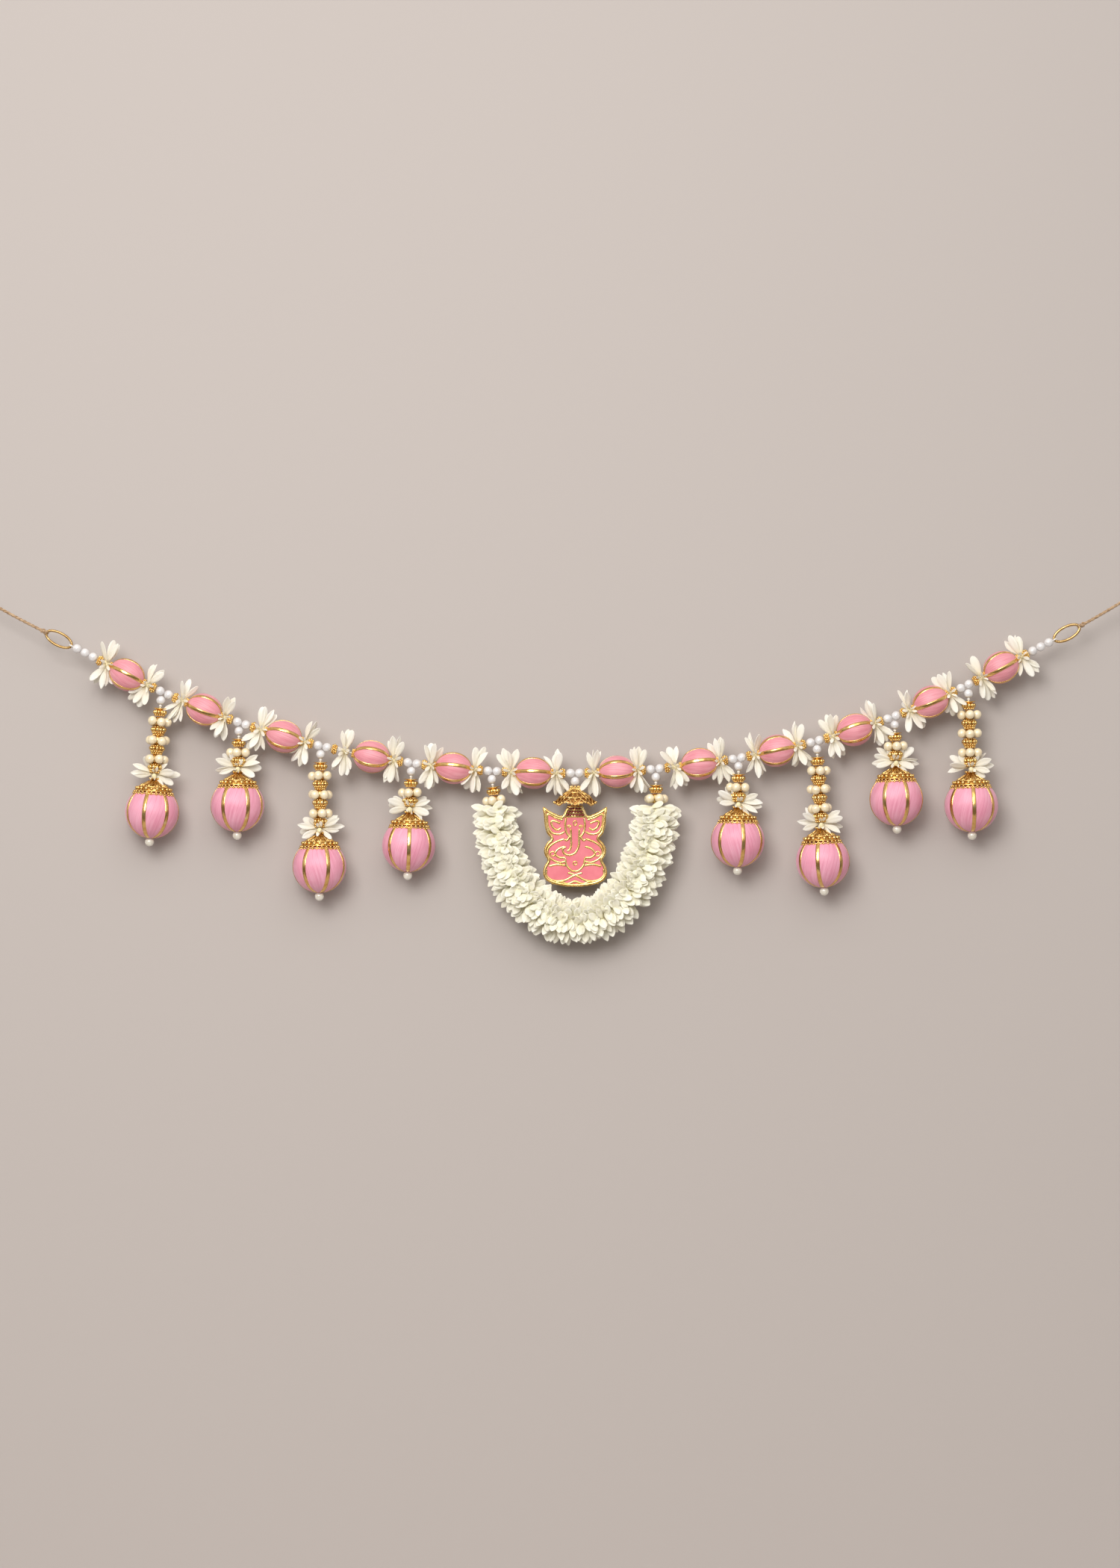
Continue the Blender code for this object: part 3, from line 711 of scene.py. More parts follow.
# Petal flowers: ivory cloth petals, cut like spoons and curled, gathered round the thread at
# either side of the spacers and on top of each bell cap. No two lie the same way.
PETAL_LONG = 0.0216
PETAL_WIDE = 0.0071
PETAL_THICK = 0.00028
PETAL_SHARES = (0.0, 0.22, 0.46, 0.68, 0.85, 0.95, 1.0)


def petal_mesh(long, wide, tip, cup, bend, twist=0.0, columns=4):
    """A curved petal along +X with its face to +Z. tip near 0 is pointed and near 1 is round."""
    verts, faces, shares = [], [], []
    for share in PETAL_SHARES:
        swell = sin(pi * min(1.0, share ** 1.55)) ** (0.85 - 0.45 * tip)
        half = wide / 2 * max(0.20 * (1 - share), swell, 0.12)
        for k in range(columns):
            across = 2 * k / (columns - 1) - 1
            y = across * half
            z = cup * half * across * across + bend * long * share * share
            angle = twist * share
            verts.append((share * long * (1 - 0.15 * abs(bend)),
                          y * cos(angle) - z * sin(angle), y * sin(angle) + z * cos(angle)))
            shares.append(share)
    for i in range(len(PETAL_SHARES) - 1):
        for k in range(columns - 1):
            a = i * columns + k
            faces.append((a, a + columns, a + columns + 1, a + 1))
    mesh = bpy.data.meshes.new("petal")
    mesh.from_pydata(verts, [], faces)
    layer = mesh.attributes.new("out", "FLOAT", "POINT")
    layer.data.foreach_set("value", shares)
    host = placed("petal", mesh)
    wall = host.modifiers.new("wall", "SOLIDIFY")
    wall.thickness = PETAL_THICK
    wall.offset = 0
    return baked(host)


def scatter_tree():
    """Copies of a shape on points that carry their own turn and size."""
    tree, sockets, given = group_tree("petal_places", {
        "Geometry": "Geometry", "Shape": "Object", "Finish": "Material"})
    shape = node(tree, "GeometryNodeObjectInfo", {"Object": given["Shape"]}, "Geometry")
    copied = {"Points": given["Geometry"], "Instance": shape}
    for label, kind, socket in (("turn", "QUATERNION", "Rotation"), ("size", "FLOAT_VECTOR", "Scale")):
        named = tree.nodes.new("GeometryNodeInputNamedAttribute")
        named.data_type = kind
        named.inputs["Name"].default_value = label
        copied[socket] = next(output for output in named.outputs if output.enabled)
    finish_tree(tree, node(tree, "GeometryNodeInstanceOnPoints", copied), given["Finish"])
    return tree, sockets


SCATTER = scatter_tree()


def strew(shape, places, finish, rng):
    """Plain mesh of a shape at each matrix, with a shade of its own for each copy."""
    points = bpy.data.meshes.new("places")
    points.from_pydata([place.translation for place in places], [], [])
    columns = (("turn", "QUATERNION", "value", [place.to_quaternion() for place in places]),
               ("size", "FLOAT_VECTOR", "vector", [place.to_scale() for place in places]),
               ("shade", "FLOAT", "value", [(rng.random(),) for _ in places]))
    for label, kind, field, rows in columns:
        layer = points.attributes.new(label, kind, "POINT")
        layer.data.foreach_set(field, [number for row in rows for number in row])
    model = placed("shape", shape)
    mesh = grown(points, SCATTER, {"Shape": model, "Finish": finish})
    bpy.data.objects.remove(model)
    return mesh


def petal_finish(name, root, middle, tip, soft):
    """Petal cloth: a yellower, darker root, partly the cloth's own tint and partly painted shade where
    the petals gather, a shade of its own for each petal, and fine lengthwise veins.
    """
    made, tree, shader = new_finish(name, middle, 0.6)
    out = node(tree, "ShaderNodeAttribute", {}, "Fac", attribute_name="out")
    shade = node(tree, "ShaderNodeAttribute", {}, "Fac", attribute_name="shade")
    varied = {"Fac": 1.0, "Color1": ramp(tree, out, [(0.0, root), (0.35, middle), (0.9, tip)]),
              "Color2": ramp(tree, shade, [(0.0, (0.93, 0.91, 0.86)), (1.0, (1, 1, 1))])}
    feed(shader, {"Base Color": node(tree, "ShaderNodeMixRGB", varied, blend_type="MULTIPLY"),
                  "Subsurface Weight": soft, "Subsurface Radius": (0.006, 0.0055, 0.004),
                  "Subsurface Scale": 1.0, "Sheen Weight": 0.15})
    bump(shader, noise(tree, 700, 3), 0.25, 0.0003)
    return made


# The root colour is darker and yellower: partly the petals' own tint, partly painted shade where the
# petals crowd together.
ivory = petal_finish("ivory_petal", (0.88, 0.78, 0.50), (0.94, 0.89, 0.74), (0.96, 0.93, 0.83), 0.25)
PETAL_SHAPES = [
    petal_mesh(PETAL_LONG, PETAL_WIDE, 0.8, 0.18, 0.04),
    petal_mesh(PETAL_LONG, PETAL_WIDE, 0.3, 0.40, 0.14, 0.25),
    petal_mesh(PETAL_LONG, PETAL_WIDE * 0.85, 0.1, 0.70, -0.08, -0.30),
    petal_mesh(PETAL_LONG * 0.97, PETAL_WIDE * 1.08, 0.9, 0.15, -0.10, 0.15),
]
# Each flower's petals: the way it points in the picture's plane, in degrees from the line towards
# the pearls, the way it leans to the viewer, and its size
LINE_FLOWER = (
    (66, 12, 0.92), (80, -8, 1.0), (95, 16, 1.0), (110, -4, 0.94),
    (-62, 14, 0.92), (-77, -6, 1.0), (-92, 16, 1.0), (-106, -4, 0.98), (-120, 12, 0.84),
    (84, -45, 0.86), (-84, -48, 0.86),
    (20, 48, 0.40), (95, 58, 0.44), (160, 48, 0.38), (-50, 50, 0.42), (-140, 52, 0.40),
)
SMALL_PETAL = 0.5
FLOWER_TURN = 10
MISSING_PETALS = 0.10
PETAL_TURN = 7
PETAL_LEAN = 12
PETAL_ROLL = 26
PETAL_ROOT = 0.0014
SMALL_FORWARD = 0.0022


def flower_places(point, right, above, plan, rng):
    """Matrices of one flower's petals, each with the index of its shape."""
    made = []
    whole = rng.uniform(-FLOWER_TURN, FLOWER_TURN)
    for turn, rise, size in plan:
        if size > SMALL_PETAL and rng.random() < MISSING_PETALS:
            continue
        turn = radians(turn + whole + rng.uniform(-PETAL_TURN, PETAL_TURN))
        rise = radians(rise + rng.uniform(-PETAL_LEAN, PETAL_LEAN))
        flat = right * cos(turn) + above * sin(turn)
        out = flat * cos(rise) - DEEP * sin(rise)
        face = -DEEP + flat * 0.001
        face.rotate(Quaternion(out, radians(rng.gauss(0, PETAL_ROLL))))
        size *= rng.uniform(0.92, 1.05)
        shape = rng.randrange(len(PETAL_SHAPES))
        base = point + out * PETAL_ROOT - DEEP * (SMALL_FORWARD if size < SMALL_PETAL else 0)
        made.append((shape, axes_matrix(base, out, face, (size, size * rng.uniform(0.9, 1.15), size))))
    return made


petal_rng = random.Random(14)
flowers, hubs = [], []
hub = turned_mesh([(-0.0036, 0.0016), (-0.0030, 0.0026), (-0.0008, 0.0020), (0.0006, 0.0022),
                   (0.0032, 0.0033), (0.0038, 0.0020)], 14)
for along, towards in hub_places:
    point, direction, up = line_at(along)
    hubs.append((hub, axes_matrix(point, direction * towards, up)))
    flowers += flower_places(point, direction * -towards, up, LINE_FLOWER, petal_rng)


def petals_mesh(flowers, shapes, finish, rng):
    """All petals of a list of (shape number, matrix) as one mesh."""
    parts = []
    for number, shape in enumerate(shapes):
        places = [place for index, place in flowers if index == number]
        if places:
            parts.append((strew(shape.copy(), places, finish, rng), Matrix()))
    return joined(parts)


sprays = [f"spray_{number:02d}" for number in range(len(CLUSTER_AT) + 2)]
line_flowers = petals_mesh(flowers, PETAL_SHAPES, ivory, petal_rng)
add_piece("line_flowers", line_flowers, ivory, sprays)
add_piece("flower_hubs", hubs, ivory)


# Drops: under eight of the clusters hang columns of gold rings and rings of champagne pearls,
# long and short by turns, each with a petal flower under it. DROPS has the cluster that each
# hangs from, its rows of pearls and its lean in degrees.
DROPS = ((0, 3, -4.6), (1, 1, -1.0), (2, 3, -0.5), (3, 1, -1.9),
         (7, 1, -0.6), (8, 3, 2.9), (9, 1, 1.3), (10, 3, 1.5))
DISC_AT = 0.0080
DISC_R = 0.0064
FIRST_ROW_AT = 0.0199
ROW_PITCH = 0.01765
ROW_PEARLS = 5
ROW_CIRCLE = 0.0076
DROP_FLOWER_AT = 0.0338
DROP_FLOWER = (
    (-18, 16, 0.90), (0, -4, 1.0), (16, 14, 0.98), (34, -8, 0.92), (56, 14, 0.64),
    (-160, 14, 0.90), (182, -6, 1.0), (165, 12, 0.98), (146, -10, 0.92), (124, 12, 0.66),
    (20, -52, 0.86), (160, -52, 0.86), (-46, 26, 0.74),
    (66, 50, 0.44), (112, 54, 0.42), (-62, 55, 0.40), (-120, 52, 0.42),
)
FLOWER_BUD = (0.62, 0.55, 0.55)
COLUMN_END = 0.016
TOP_RING_AT = 0.0114
PEARL_SHIFT = 0.0005


def hanging(cluster, lean):
    """Start, direction down and across direction of what hangs from a cluster."""
    angle = radians(lean)
    down = Vector((sin(angle), 0, -cos(angle)))
    return third_pearl(cluster), down, Vector((cos(angle), 0, sin(angle)))


def hung(mesh, hanger, depth, spin=0.0):
    """The shape on a hanging axis, its +X down."""
    start, down, _ = hanger
    return mesh, axes_matrix(start + down * depth, down, DEEP) @ Matrix.Rotation(spin, 4, "X")


disc_outline = [(0.0006, 0.0008), (-0.0002, 0.0034), (-0.0012, DISC_R), (-0.0008, DISC_R * 1.02),
                (0.0004, 0.0036), (0.0012, 0.0008)]
disc = turned_mesh(disc_outline, 32)
top_ring = granulated(0.0024, 0.0040, [
    (11, 0.0052, 0.0016, -0.0002, 1.3), (14, 0.0044, 0.0010, 0.0026)])
band_ring = granulated(0.0046, 0.0042, [
    (14, 0.0050, 0.0010, -0.0036), (11, 0.0060, 0.0016, -0.0012, 1.35),
    (15, 0.0052, 0.0011, 0.0016), (13, 0.0046, 0.0010, 0.0036)])
core = turned_mesh([(-0.0045, 0.0036), (0.0045, 0.0036)], 16)
knot_outline = [(-0.0010, 0.0006), (-0.0004, 0.0014), (0.0006, 0.0013), (0.0012, 0.0007)]
pearl_knot = turned_mesh(knot_outline, 12)
drop_rng = random.Random(15)
columns, warm_pearls, flowers, knots = [], [], [], []


def bead_column(hanger, rows, rng, closing=True):
    """Adds one column's disc, gold rings and pearl rings to the lists."""
    start, down, across = hanger
    reach = FIRST_ROW_AT + (rows - 1) * ROW_PITCH + COLUMN_END
    route = [start + down * reach * k / 20 for k in range(21)]
    threads.append(twisted(route, THREAD_R, 2, THREAD_GROOVE, THREAD_PITCH, sides=8))
    knots.append(hung(pearl_knot, hanger, PEARL_R + 0.0008))
    columns.append(hung(disc, hanger, DISC_AT + 0.0004))
    columns.append(hung(top_ring, hanger, TOP_RING_AT, rng.uniform(0, 6)))
    for row in range(rows):
        centre = FIRST_ROW_AT + row * ROW_PITCH
        phase = rng.uniform(0, 6.28)
        columns.append(hung(core, hanger, centre))
        for k in range(ROW_PEARLS):
            turn = phase + 2 * pi * k / ROW_PEARLS
            spot = start + down * (centre + rng.uniform(-PEARL_SHIFT, PEARL_SHIFT))
            spot += (across * cos(turn) + DEEP * sin(turn)) * ROW_CIRCLE
            warm_pearls.append((pearl, axes_matrix(spot, down, DEEP)))
        if row < rows - 1 or closing:
            columns.append(hung(band_ring, hanger, centre + ROW_PITCH / 2, rng.uniform(0, 6)))


hung_drops = [(hanging(cluster, lean), (rows - 1) * ROW_PITCH) for cluster, rows, lean in DROPS]
flower_buds = []
for (hanger, longer), (_, rows, _) in zip(hung_drops, DROPS):
    start, down, across = hanger
    bead_column(hanger, rows, drop_rng)
    heart = start + down * (DROP_FLOWER_AT + longer)
    flowers += flower_places(heart, across, -down, DROP_FLOWER, drop_rng)
    middle = heart - DEEP * 0.0062 + down * 0.0022
    flower_buds.append((pearl, axes_matrix(middle, down, DEEP, FLOWER_BUD)))
drop_flowers = petals_mesh(flowers, PETAL_SHAPES, ivory, drop_rng)
add_piece("drop_flowers", drop_flowers, ivory)
add_piece("flower_buds", flower_buds, ivory)


# Bell caps: stamped filigree caps on the balls, with rows of granules, crossed wires between
# them and a scalloped rim.
CAP_TOP_AT = 0.0375
CAP_TOP_R = 0.0040
CAP_RIM = 0.0146
CAP_OUTLINE = ((0.0, CAP_TOP_R), (0.0035, 0.0056), (0.0066, 0.0108), (0.0098, 0.0155), (CAP_RIM, 0.0182))
FINE_WIRE_R = 0.00045
WIRE_R = 0.00055
CAP_SCALLOPS = 26
RELIEF = 0.0001
CAP_ARCHES = 10


def radius_at(outline, depth):
    return float(np.interp(depth, *zip(*outline)))


def wire_rows(points, thick, sides=6):
    """Rows of a thin round wire through points."""
    rows = []
    for i, point in enumerate(points):
        direction = (points[min(i + 1, len(points) - 1)] - points[max(i - 1, 0)]).normalized()
        first = direction.orthogonal().normalized() if abs(direction.x) > 0.95 else \
            direction.cross(Vector((1, 0, 0))).normalized()
        second = direction.cross(first)
        rows.append(circle_points(point, first, second, thick, sides))
    return rows


def on_cap(depth, turn, lift=0.0):
    radius = radius_at(CAP_OUTLINE, depth) + lift
    return Vector((depth, radius * cos(turn), radius * sin(turn)))


cap_shell_outline = [(0.0, 0.0012)] + [(depth, radius - 0.0008) for depth, radius in CAP_OUTLINE]
cap_shell_outline += [(0.0142, 0.0170), (0.0100, 0.0141), (0.0076, 0.0080), (0.0070, 0.0010)]
cap_wires = []
half = pi / CAP_ARCHES * 0.92
for middle in angles(CAP_ARCHES):
    for reach, low, high in ((1.0, 0.0084, 0.0030), (0.55, 0.0084, 0.0052)):
        arch = []
        for s in range(11):
            depth = low - (low - high) * sin(pi * s / 10)
            arch.append(on_cap(depth, middle + half * reach * (s / 5 - 1), RELIEF))
        cap_wires.append(wire_rows(arch, FINE_WIRE_R))
for depth in (0.0086, 0.0124):
    ring = [on_cap(depth, turn, RELIEF) for turn in angles(60)]
    cap_wires.append(wire_rows(ring + ring[:1], WIRE_R))
wave = [on_cap(CAP_RIM + 0.0007 * cos(CAP_SCALLOPS * turn), turn, 0.0003) for turn in angles(156)]
cap_wires.append(wire_rows(wave + wave[:1], 0.00060))
cap_rings = [(9, 0.0044, 0.0012, 0.0008)]
for count, place, ball, depth, out in (
        (CAP_ARCHES, 0.0072, 0.00095, 0.0072, 0.0), (19, 0.0104, 0.00170, 0.0104, 0.0002),
        (CAP_SCALLOPS, 0.0136, 0.00105, 0.0136, 0.0003), (CAP_SCALLOPS, CAP_RIM, 0.00095, 0.0156, 0.0006)):
    cap_rings.append((count, radius_at(CAP_OUTLINE, place) + out, ball, depth))
cap = joined([(rows_mesh(cap_wires), Matrix())] + [(granules(*ring), Matrix()) for ring in cap_rings])
cap_shell = turned_mesh(cap_shell_outline, 48)
caps, cap_shells = [], []
for hanger, longer in hung_drops:
    caps.append(hung(cap, hanger, CAP_TOP_AT + longer, drop_rng.uniform(0, 6)))
    cap_shells.append(hung(cap_shell, hanger, CAP_TOP_AT + longer))
drop_numbers = range(1, len(DROPS) + 1)
add_piece("bell_caps", caps, gold, [f"drop_cap_{k}" for k in drop_numbers])
# Painted shade: the cap's shell under the wires and granules is a far darker gold than theirs, for the
# shade in the recesses between them.
cap_painted_shade_gold = gold_finish("cap_painted_shade", (0.62, 0.33, 0.08), (0.34, 0.15, 0.03), 0.35, 900)
add_piece("cap_shells", cap_shells, cap_painted_shade_gold)


# Balls: light cores wound from pole to pole with silky pink thread, with flat gold ribbons over
# the winding and a pearl knotted at the foot.
BALL_AT = 0.0697
BALL_R = 0.0249
BALL_RIBBONS = 7
BALL_RIBBON_TURN = (-11, -28, -32, 3, 10, -15, 20, 0)
BALL_RIBBON_WIDE = 0.0036
BALL_WINDS = 58
BALL_SKEW = 0.30
BALL_RELIEF = 0.00009
FOOT_PEARL_AT = 0.0977


def ball_profile(share):
    return share * BALL_R, BALL_R * sqrt(max(0.0, 1 - share * share))


ball_thread = thread_winding("pink_thread", (0.74, 0.265, 0.37), (0.81, 0.345, 0.455), (0.87, 0.435, 0.55),
                             BALL_WINDS)
ball_rng = random.Random(16)
bodies, ribbons, foot_pearls = [], [], []
for (hanger, longer), turn in zip(hung_drops, BALL_RIBBON_TURN):
    skew = BALL_SKEW * ball_rng.choice((-1, 1))
    body = wound_mesh(ball_profile, BALL_WINDS, BALL_RELIEF, skew, ball_rng, 30)
    body, place = hung(body, hanger, BALL_AT + longer)
    bodies.append((body, place))
    start, down, across = hanger
    for k in range(BALL_RIBBONS):
        turned_by = radians(turn + k * 360 / BALL_RIBBONS + ball_rng.uniform(-5, 5) * (k > 0))
        facing = across * sin(turned_by) - DEEP * cos(turned_by)
        local = place.to_3x3().inverted() @ facing
        rows = ribbon_rows(ball_profile, atan2(local.z, local.y), BALL_RIBBON_WIDE, 0.00045, 30)
        ribbons.append([[place @ spot for spot in row] for row in rows])
    foot_pearls.append((pearl, axes_matrix(start + down * (FOOT_PEARL_AT + longer), down, DEEP)))
add_piece("ball_winding", bodies, ball_thread, [f"drop_ball_{k}" for k in drop_numbers])
add_piece("ball_ribbons", rows_mesh(ribbons), ribbon_gold)
foot_pearl = pearl_finish("foot_pearl", (0.84, 0.80, 0.70), (0.70, 0.64, 0.52))
add_piece("foot_pearls", foot_pearls, foot_pearl)


# Garland: cream cloth petals packed tight round a cord, as on a real jasmine string, hung in a
# U from two heads of gold and pearls.
HEAD_LEAN = {"left": 7.4, "right": 0.0}
HEAD_CLUSTER = {"left": 4, "right": 6}
HEAD_END = 0.0268
GARLAND_DEPTH = 0.107
GARLAND_CORE_R = 0.0052
GARLAND_ROWS = 66
GARLAND_PETAL_LONG = 0.0186
GARLAND_PETAL_WIDE = 0.0080

for side in ("left", "right"):
    bead_column(hanging(HEAD_CLUSTER[side], HEAD_LEAN[side]), 1, drop_rng, closing=False)
add_piece("column_gold", columns, gold)
thread_parts = [(mesh, Matrix()) for mesh in threads] + knots
add_piece("strung_thread", thread_parts, thread_finish)
champagne = pearl_finish("champagne_pearl", (0.92, 0.81, 0.57), (0.82, 0.67, 0.42))
add_piece("champagne_pearls", warm_pearls, champagne,
          [f"drop_stem_{k}" for k in drop_numbers] + ["garland_head_left", "garland_head_right"])


def garland_end(side):
    start, down, _ = hanging(HEAD_CLUSTER[side], HEAD_LEAN[side])
    return start + down * (HEAD_END + GAP)


def garland_at(share):
    """Point and direction on the lower half of the garland's ellipse."""
    left, right = garland_end("left"), garland_end("right")
    middle, half = (left + right) / 2, (right - left) / 2
    turn = pi * share
    down = Vector((0, 0, -GARLAND_DEPTH))
    point = middle - half * cos(turn) + down * sin(turn)
    direction = half * sin(turn) + down * cos(turn)
    return point, direction.normalized()


# The root colour is darker and yellower: partly the petals' own tint, partly painted shade where the
# packed petals overlap.
cream = petal_finish("cream_petal", (0.94, 0.88, 0.55), (0.98, 0.95, 0.74), (0.99, 0.97, 0.84), 0.15)
GARLAND_SHAPES = [
    petal_mesh(GARLAND_PETAL_LONG, GARLAND_PETAL_WIDE, 0.35, 0.22, 0.10, 0.10),
    petal_mesh(GARLAND_PETAL_LONG * 0.92, GARLAND_PETAL_WIDE * 1.08, 0.8, 0.28, 0.06, -0.15),
    petal_mesh(GARLAND_PETAL_LONG * 1.03, GARLAND_PETAL_WIDE * 0.88, 0.2, 0.30, -0.05, 0.20),
]
# Petals of one row: the side that it points to, its rise to the viewer, where it starts to that
# side and to the viewer, and its size. They come in pairs, and the front is the fullest.
GARLAND_PAIRS = ((-45, 0.0020, -0.0040, 0.82), (-18, 0.0030, -0.0015, 0.98), (4, 0.0036, 0.0015, 1.08),
                 (22, 0.0024, 0.0045, 0.98), (34, 0.0004, 0.0066, 0.92), (20, -0.0044, 0.0092, 0.82))
GARLAND_ROW = [(side, *petal) for petal in GARLAND_PAIRS for side in (1, -1)]
GARLAND_ROW.append((1, 58, 0.0006, 0.0076, 0.62))
GARLAND_RISE = 11
GARLAND_LEAN = 13
GARLAND_STRAY = 42
STRAY_SIZE = 0.85
GARLAND_ROLL = 15
GARLAND_SHIFT = 0.0016
garland_rng = random.Random(17)
buds = []
shares = np.linspace(0, 1, 400)
bends = np.array([garland_at(share)[0] for share in shares])
run_along = np.concatenate(([0.0], np.cumsum(np.linalg.norm(np.diff(bends, axis=0), axis=1))))
for row in range(GARLAND_ROWS):
    share = float(np.interp((row + 0.5) / GARLAND_ROWS * run_along[-1], run_along, shares))
    point, direction = garland_at(share)
    up = direction.cross(DEEP)
    for side, rise, aside, forward, size in GARLAND_ROW:
        rise = radians(rise + garland_rng.uniform(-GARLAND_RISE, GARLAND_RISE))
        if size > STRAY_SIZE:
            lean = radians(garland_rng.gauss(3, GARLAND_LEAN))
        else:
            lean = radians(garland_rng.uniform(-GARLAND_STRAY, GARLAND_STRAY))
        flat = up * side * cos(lean) + direction * sin(lean)
        out = flat * cos(rise) - DEEP * sin(rise)
        face = -DEEP if rise > -0.5 else DEEP.copy()
        face.rotate(Quaternion(out, radians(garland_rng.gauss(0, GARLAND_ROLL))))
        size *= garland_rng.uniform(0.90, 1.06)
        base = point + up * side * aside - DEEP * forward
        base += direction * garland_rng.uniform(-GARLAND_SHIFT, GARLAND_SHIFT)
        shape = garland_rng.choice((0, 2)) if forward < 0.006 else garland_rng.choice((0, 1))
        buds.append((shape, axes_matrix(base, out, face, (size, size, size))))
garland_petals = petals_mesh(buds, GARLAND_SHAPES, cream, garland_rng)
add_piece("garland_petals", garland_petals, cream, ["jasmine_garland"])
core_rows = []
for k in range(61):
    point, direction = garland_at(k / 60)
    radius = GARLAND_CORE_R * (0.55 if k in (0, 60) else 1) * (1 + 0.08 * sin(k * 1.9))
    up = direction.cross(DEEP)
    core_rows.append(circle_points(point, up, DEEP, radius, 16))
add_piece("garland_core", rows_mesh([core_rows]), cream)


# Crown cap: a filigree bell over the pendant, of wires crossed over an inner shell, with a skirt
# that flares in six lobes. The shell's much darker gold is painted shade in the gaps between the wires.
PENDANT_CLUSTER = 5
CROWN_TOP_AT = 0.0046
CROWN_HIGH = 0.0162
CROWN_LOBES = 6
CROWN_OUTLINE = ((0.0, 0.0040), (0.0035, 0.0052), (0.0070, 0.0105), (0.0110, 0.0150), (0.0145, 0.0170),
                 (CROWN_HIGH, 0.0183))
pendant = hanging(PENDANT_CLUSTER, 0.0)


def crown_point(depth, turn, lift=0.0):
    radius = radius_at(CROWN_OUTLINE, depth) + lift
    flare = 1 + 0.07 * (depth / CROWN_HIGH) ** 2 * cos(CROWN_LOBES * turn)
    fall = 0.0012 * (depth / CROWN_HIGH) ** 3 * cos(CROWN_LOBES * turn)
    return Vector((depth - fall, radius * flare * cos(turn), radius * flare * sin(turn)))


def crown_ring(depth, lift=0.0, count=72):
    return [crown_point(depth, turn, lift) for turn in angles(count)]


shell_rows = [crown_ring(depth, -0.0009) for depth in (0.0004, 0.0035, 0.0070, 0.0110, 0.0145, 0.0160)]
shell_rows += [crown_ring(depth, -0.0020) for depth in (0.0160, 0.0120)]
shell_rows.append(circle_points(Vector((0.0120, 0, 0)), DEEP, UP, 0.002, 72))
# Painted shade: the inner shell is a far darker gold than the wires, for the shade seen through the gaps
# of the filigree.
crown_painted_shade_gold = gold_finish("crown_painted_shade", (0.50, 0.24, 0.07), (0.26, 0.10, 0.03), 0.4, 900)
crown_wires = []
for turn in angles(18):
    for way in (-1, 1):
        wire = [crown_point(0.0008 + 0.0152 * s / 14, turn + way * 0.70 * s / 14) for s in range(15)]
        crown_wires.append(wire_rows(wire, FINE_WIRE_R))
for depth in (0.0010, 0.0058, 0.0108, 0.0158):
    ring = crown_ring(depth, RELIEF)
    crown_wires.append(wire_rows(ring + ring[:1], WIRE_R))
rim_balls = [(round_ball(0.0012), Matrix.Translation(crown_point(CROWN_HIGH, turn, 0.0002)))
             for turn in angles(36)]
crown_parts = [rows_mesh(crown_wires), granules(8, 0.0040, 0.0012, 0.0004), joined(rim_balls)]
add_piece("crown_filigree", [hung(part, pendant, CROWN_TOP_AT) for part in crown_parts], gold,
          ["pendant_crown"])
crown_shell = rows_mesh([shell_rows])
add_piece("crown_shell", [hung(crown_shell, pendant, CROWN_TOP_AT)], crown_painted_shade_gold)


# Pendant: a flat gold-plated plate in the shape of a seated elephant-headed figure, with raised
# gold lines round cells of glossy pink enamel. It hangs under the crown cap.
PLATE_TOP_AT = 0.0225
PLATE_THICK = 0.0030
PLATE_RIM = 0.0030
PLATE_HALF = ((0.0070, 0.0000), (0.0092, 0.0048), (0.0120, 0.0098), (0.0180, 0.0080),
              (0.0242, 0.0050), (0.0300, 0.0016), (0.0292, 0.0100), (0.0284, 0.0190),
              (0.0264, 0.0262), (0.0226, 0.0312), (0.0262, 0.0350), (0.0290, 0.0408),
              (0.0284, 0.0466), (0.0258, 0.0516), (0.0288, 0.0572), (0.0300, 0.0640),
              (0.0268, 0.0704), (0.0176, 0.0744), (0.0060, 0.0762))
LINE_WIDE = 0.0012
LINE_HIGH = 0.0006
LINE_SUNK = -0.0006
RIM_HIGH = 0.0009
BAND_WIDE = 0.0016


def smooth_line(points, each=8):
    """A smooth line that passes through the points."""
    made = []
    for i in range(len(points) - 1):
        four = points[max(i - 1, 0)], points[i], points[i + 1], points[min(i + 2, len(points) - 1)]
        for s in range(each):
            t = s / each
            made.append(tuple(0.5 * (2 * b + (c - a) * t + (2 * a - 5 * b + 4 * c - d) * t * t
                                     + (3 * b - a - 3 * c + d) * t ** 3)
                              for a, b, c, d in zip(*four)))
    return made + [points[-1]]


def on_plate(side, below, lift=0.0):
    start, down, across = pendant
    return start + across * side + down * (PLATE_TOP_AT + below) - DEEP * (PLATE_THICK / 2 + lift)


half_outline = smooth_line(PLATE_HALF, 3)
plate_outline = half_outline + [(-side, below) for side, below in reversed(half_outline)]


def drawn_in(outline, distance):
    """The outline moved inward square to its own edge."""
    made = []
    for i, (side, below) in enumerate(outline):
        run = (Vector(outline[(i + 1) % len(outline)]) - Vector(outline[i - 1])).normalized()
        made.append((side - run.y * distance, below + run.x * distance))
    return made


def slab(outline, front, back):
    """A flat piece between two heights over the plate's face."""
    bm = bmesh.new()
    top = [bm.verts.new(on_plate(side, below, front)) for side, below in outline]
    base = [bm.verts.new(on_plate(side, below, back)) for side, below in outline]
    for a, b, c in tessellate_polygon([[Vector((side, below, 0)) for side, below in outline]]):
        bm.faces.new((top[a], top[b], top[c]))
        bm.faces.new((base[c], base[b], base[a]))
    for k in range(len(top)):
        n = (k + 1) % len(top)
        bm.faces.new((top[k], base[k], base[n], top[n]))
    return outward(bm)


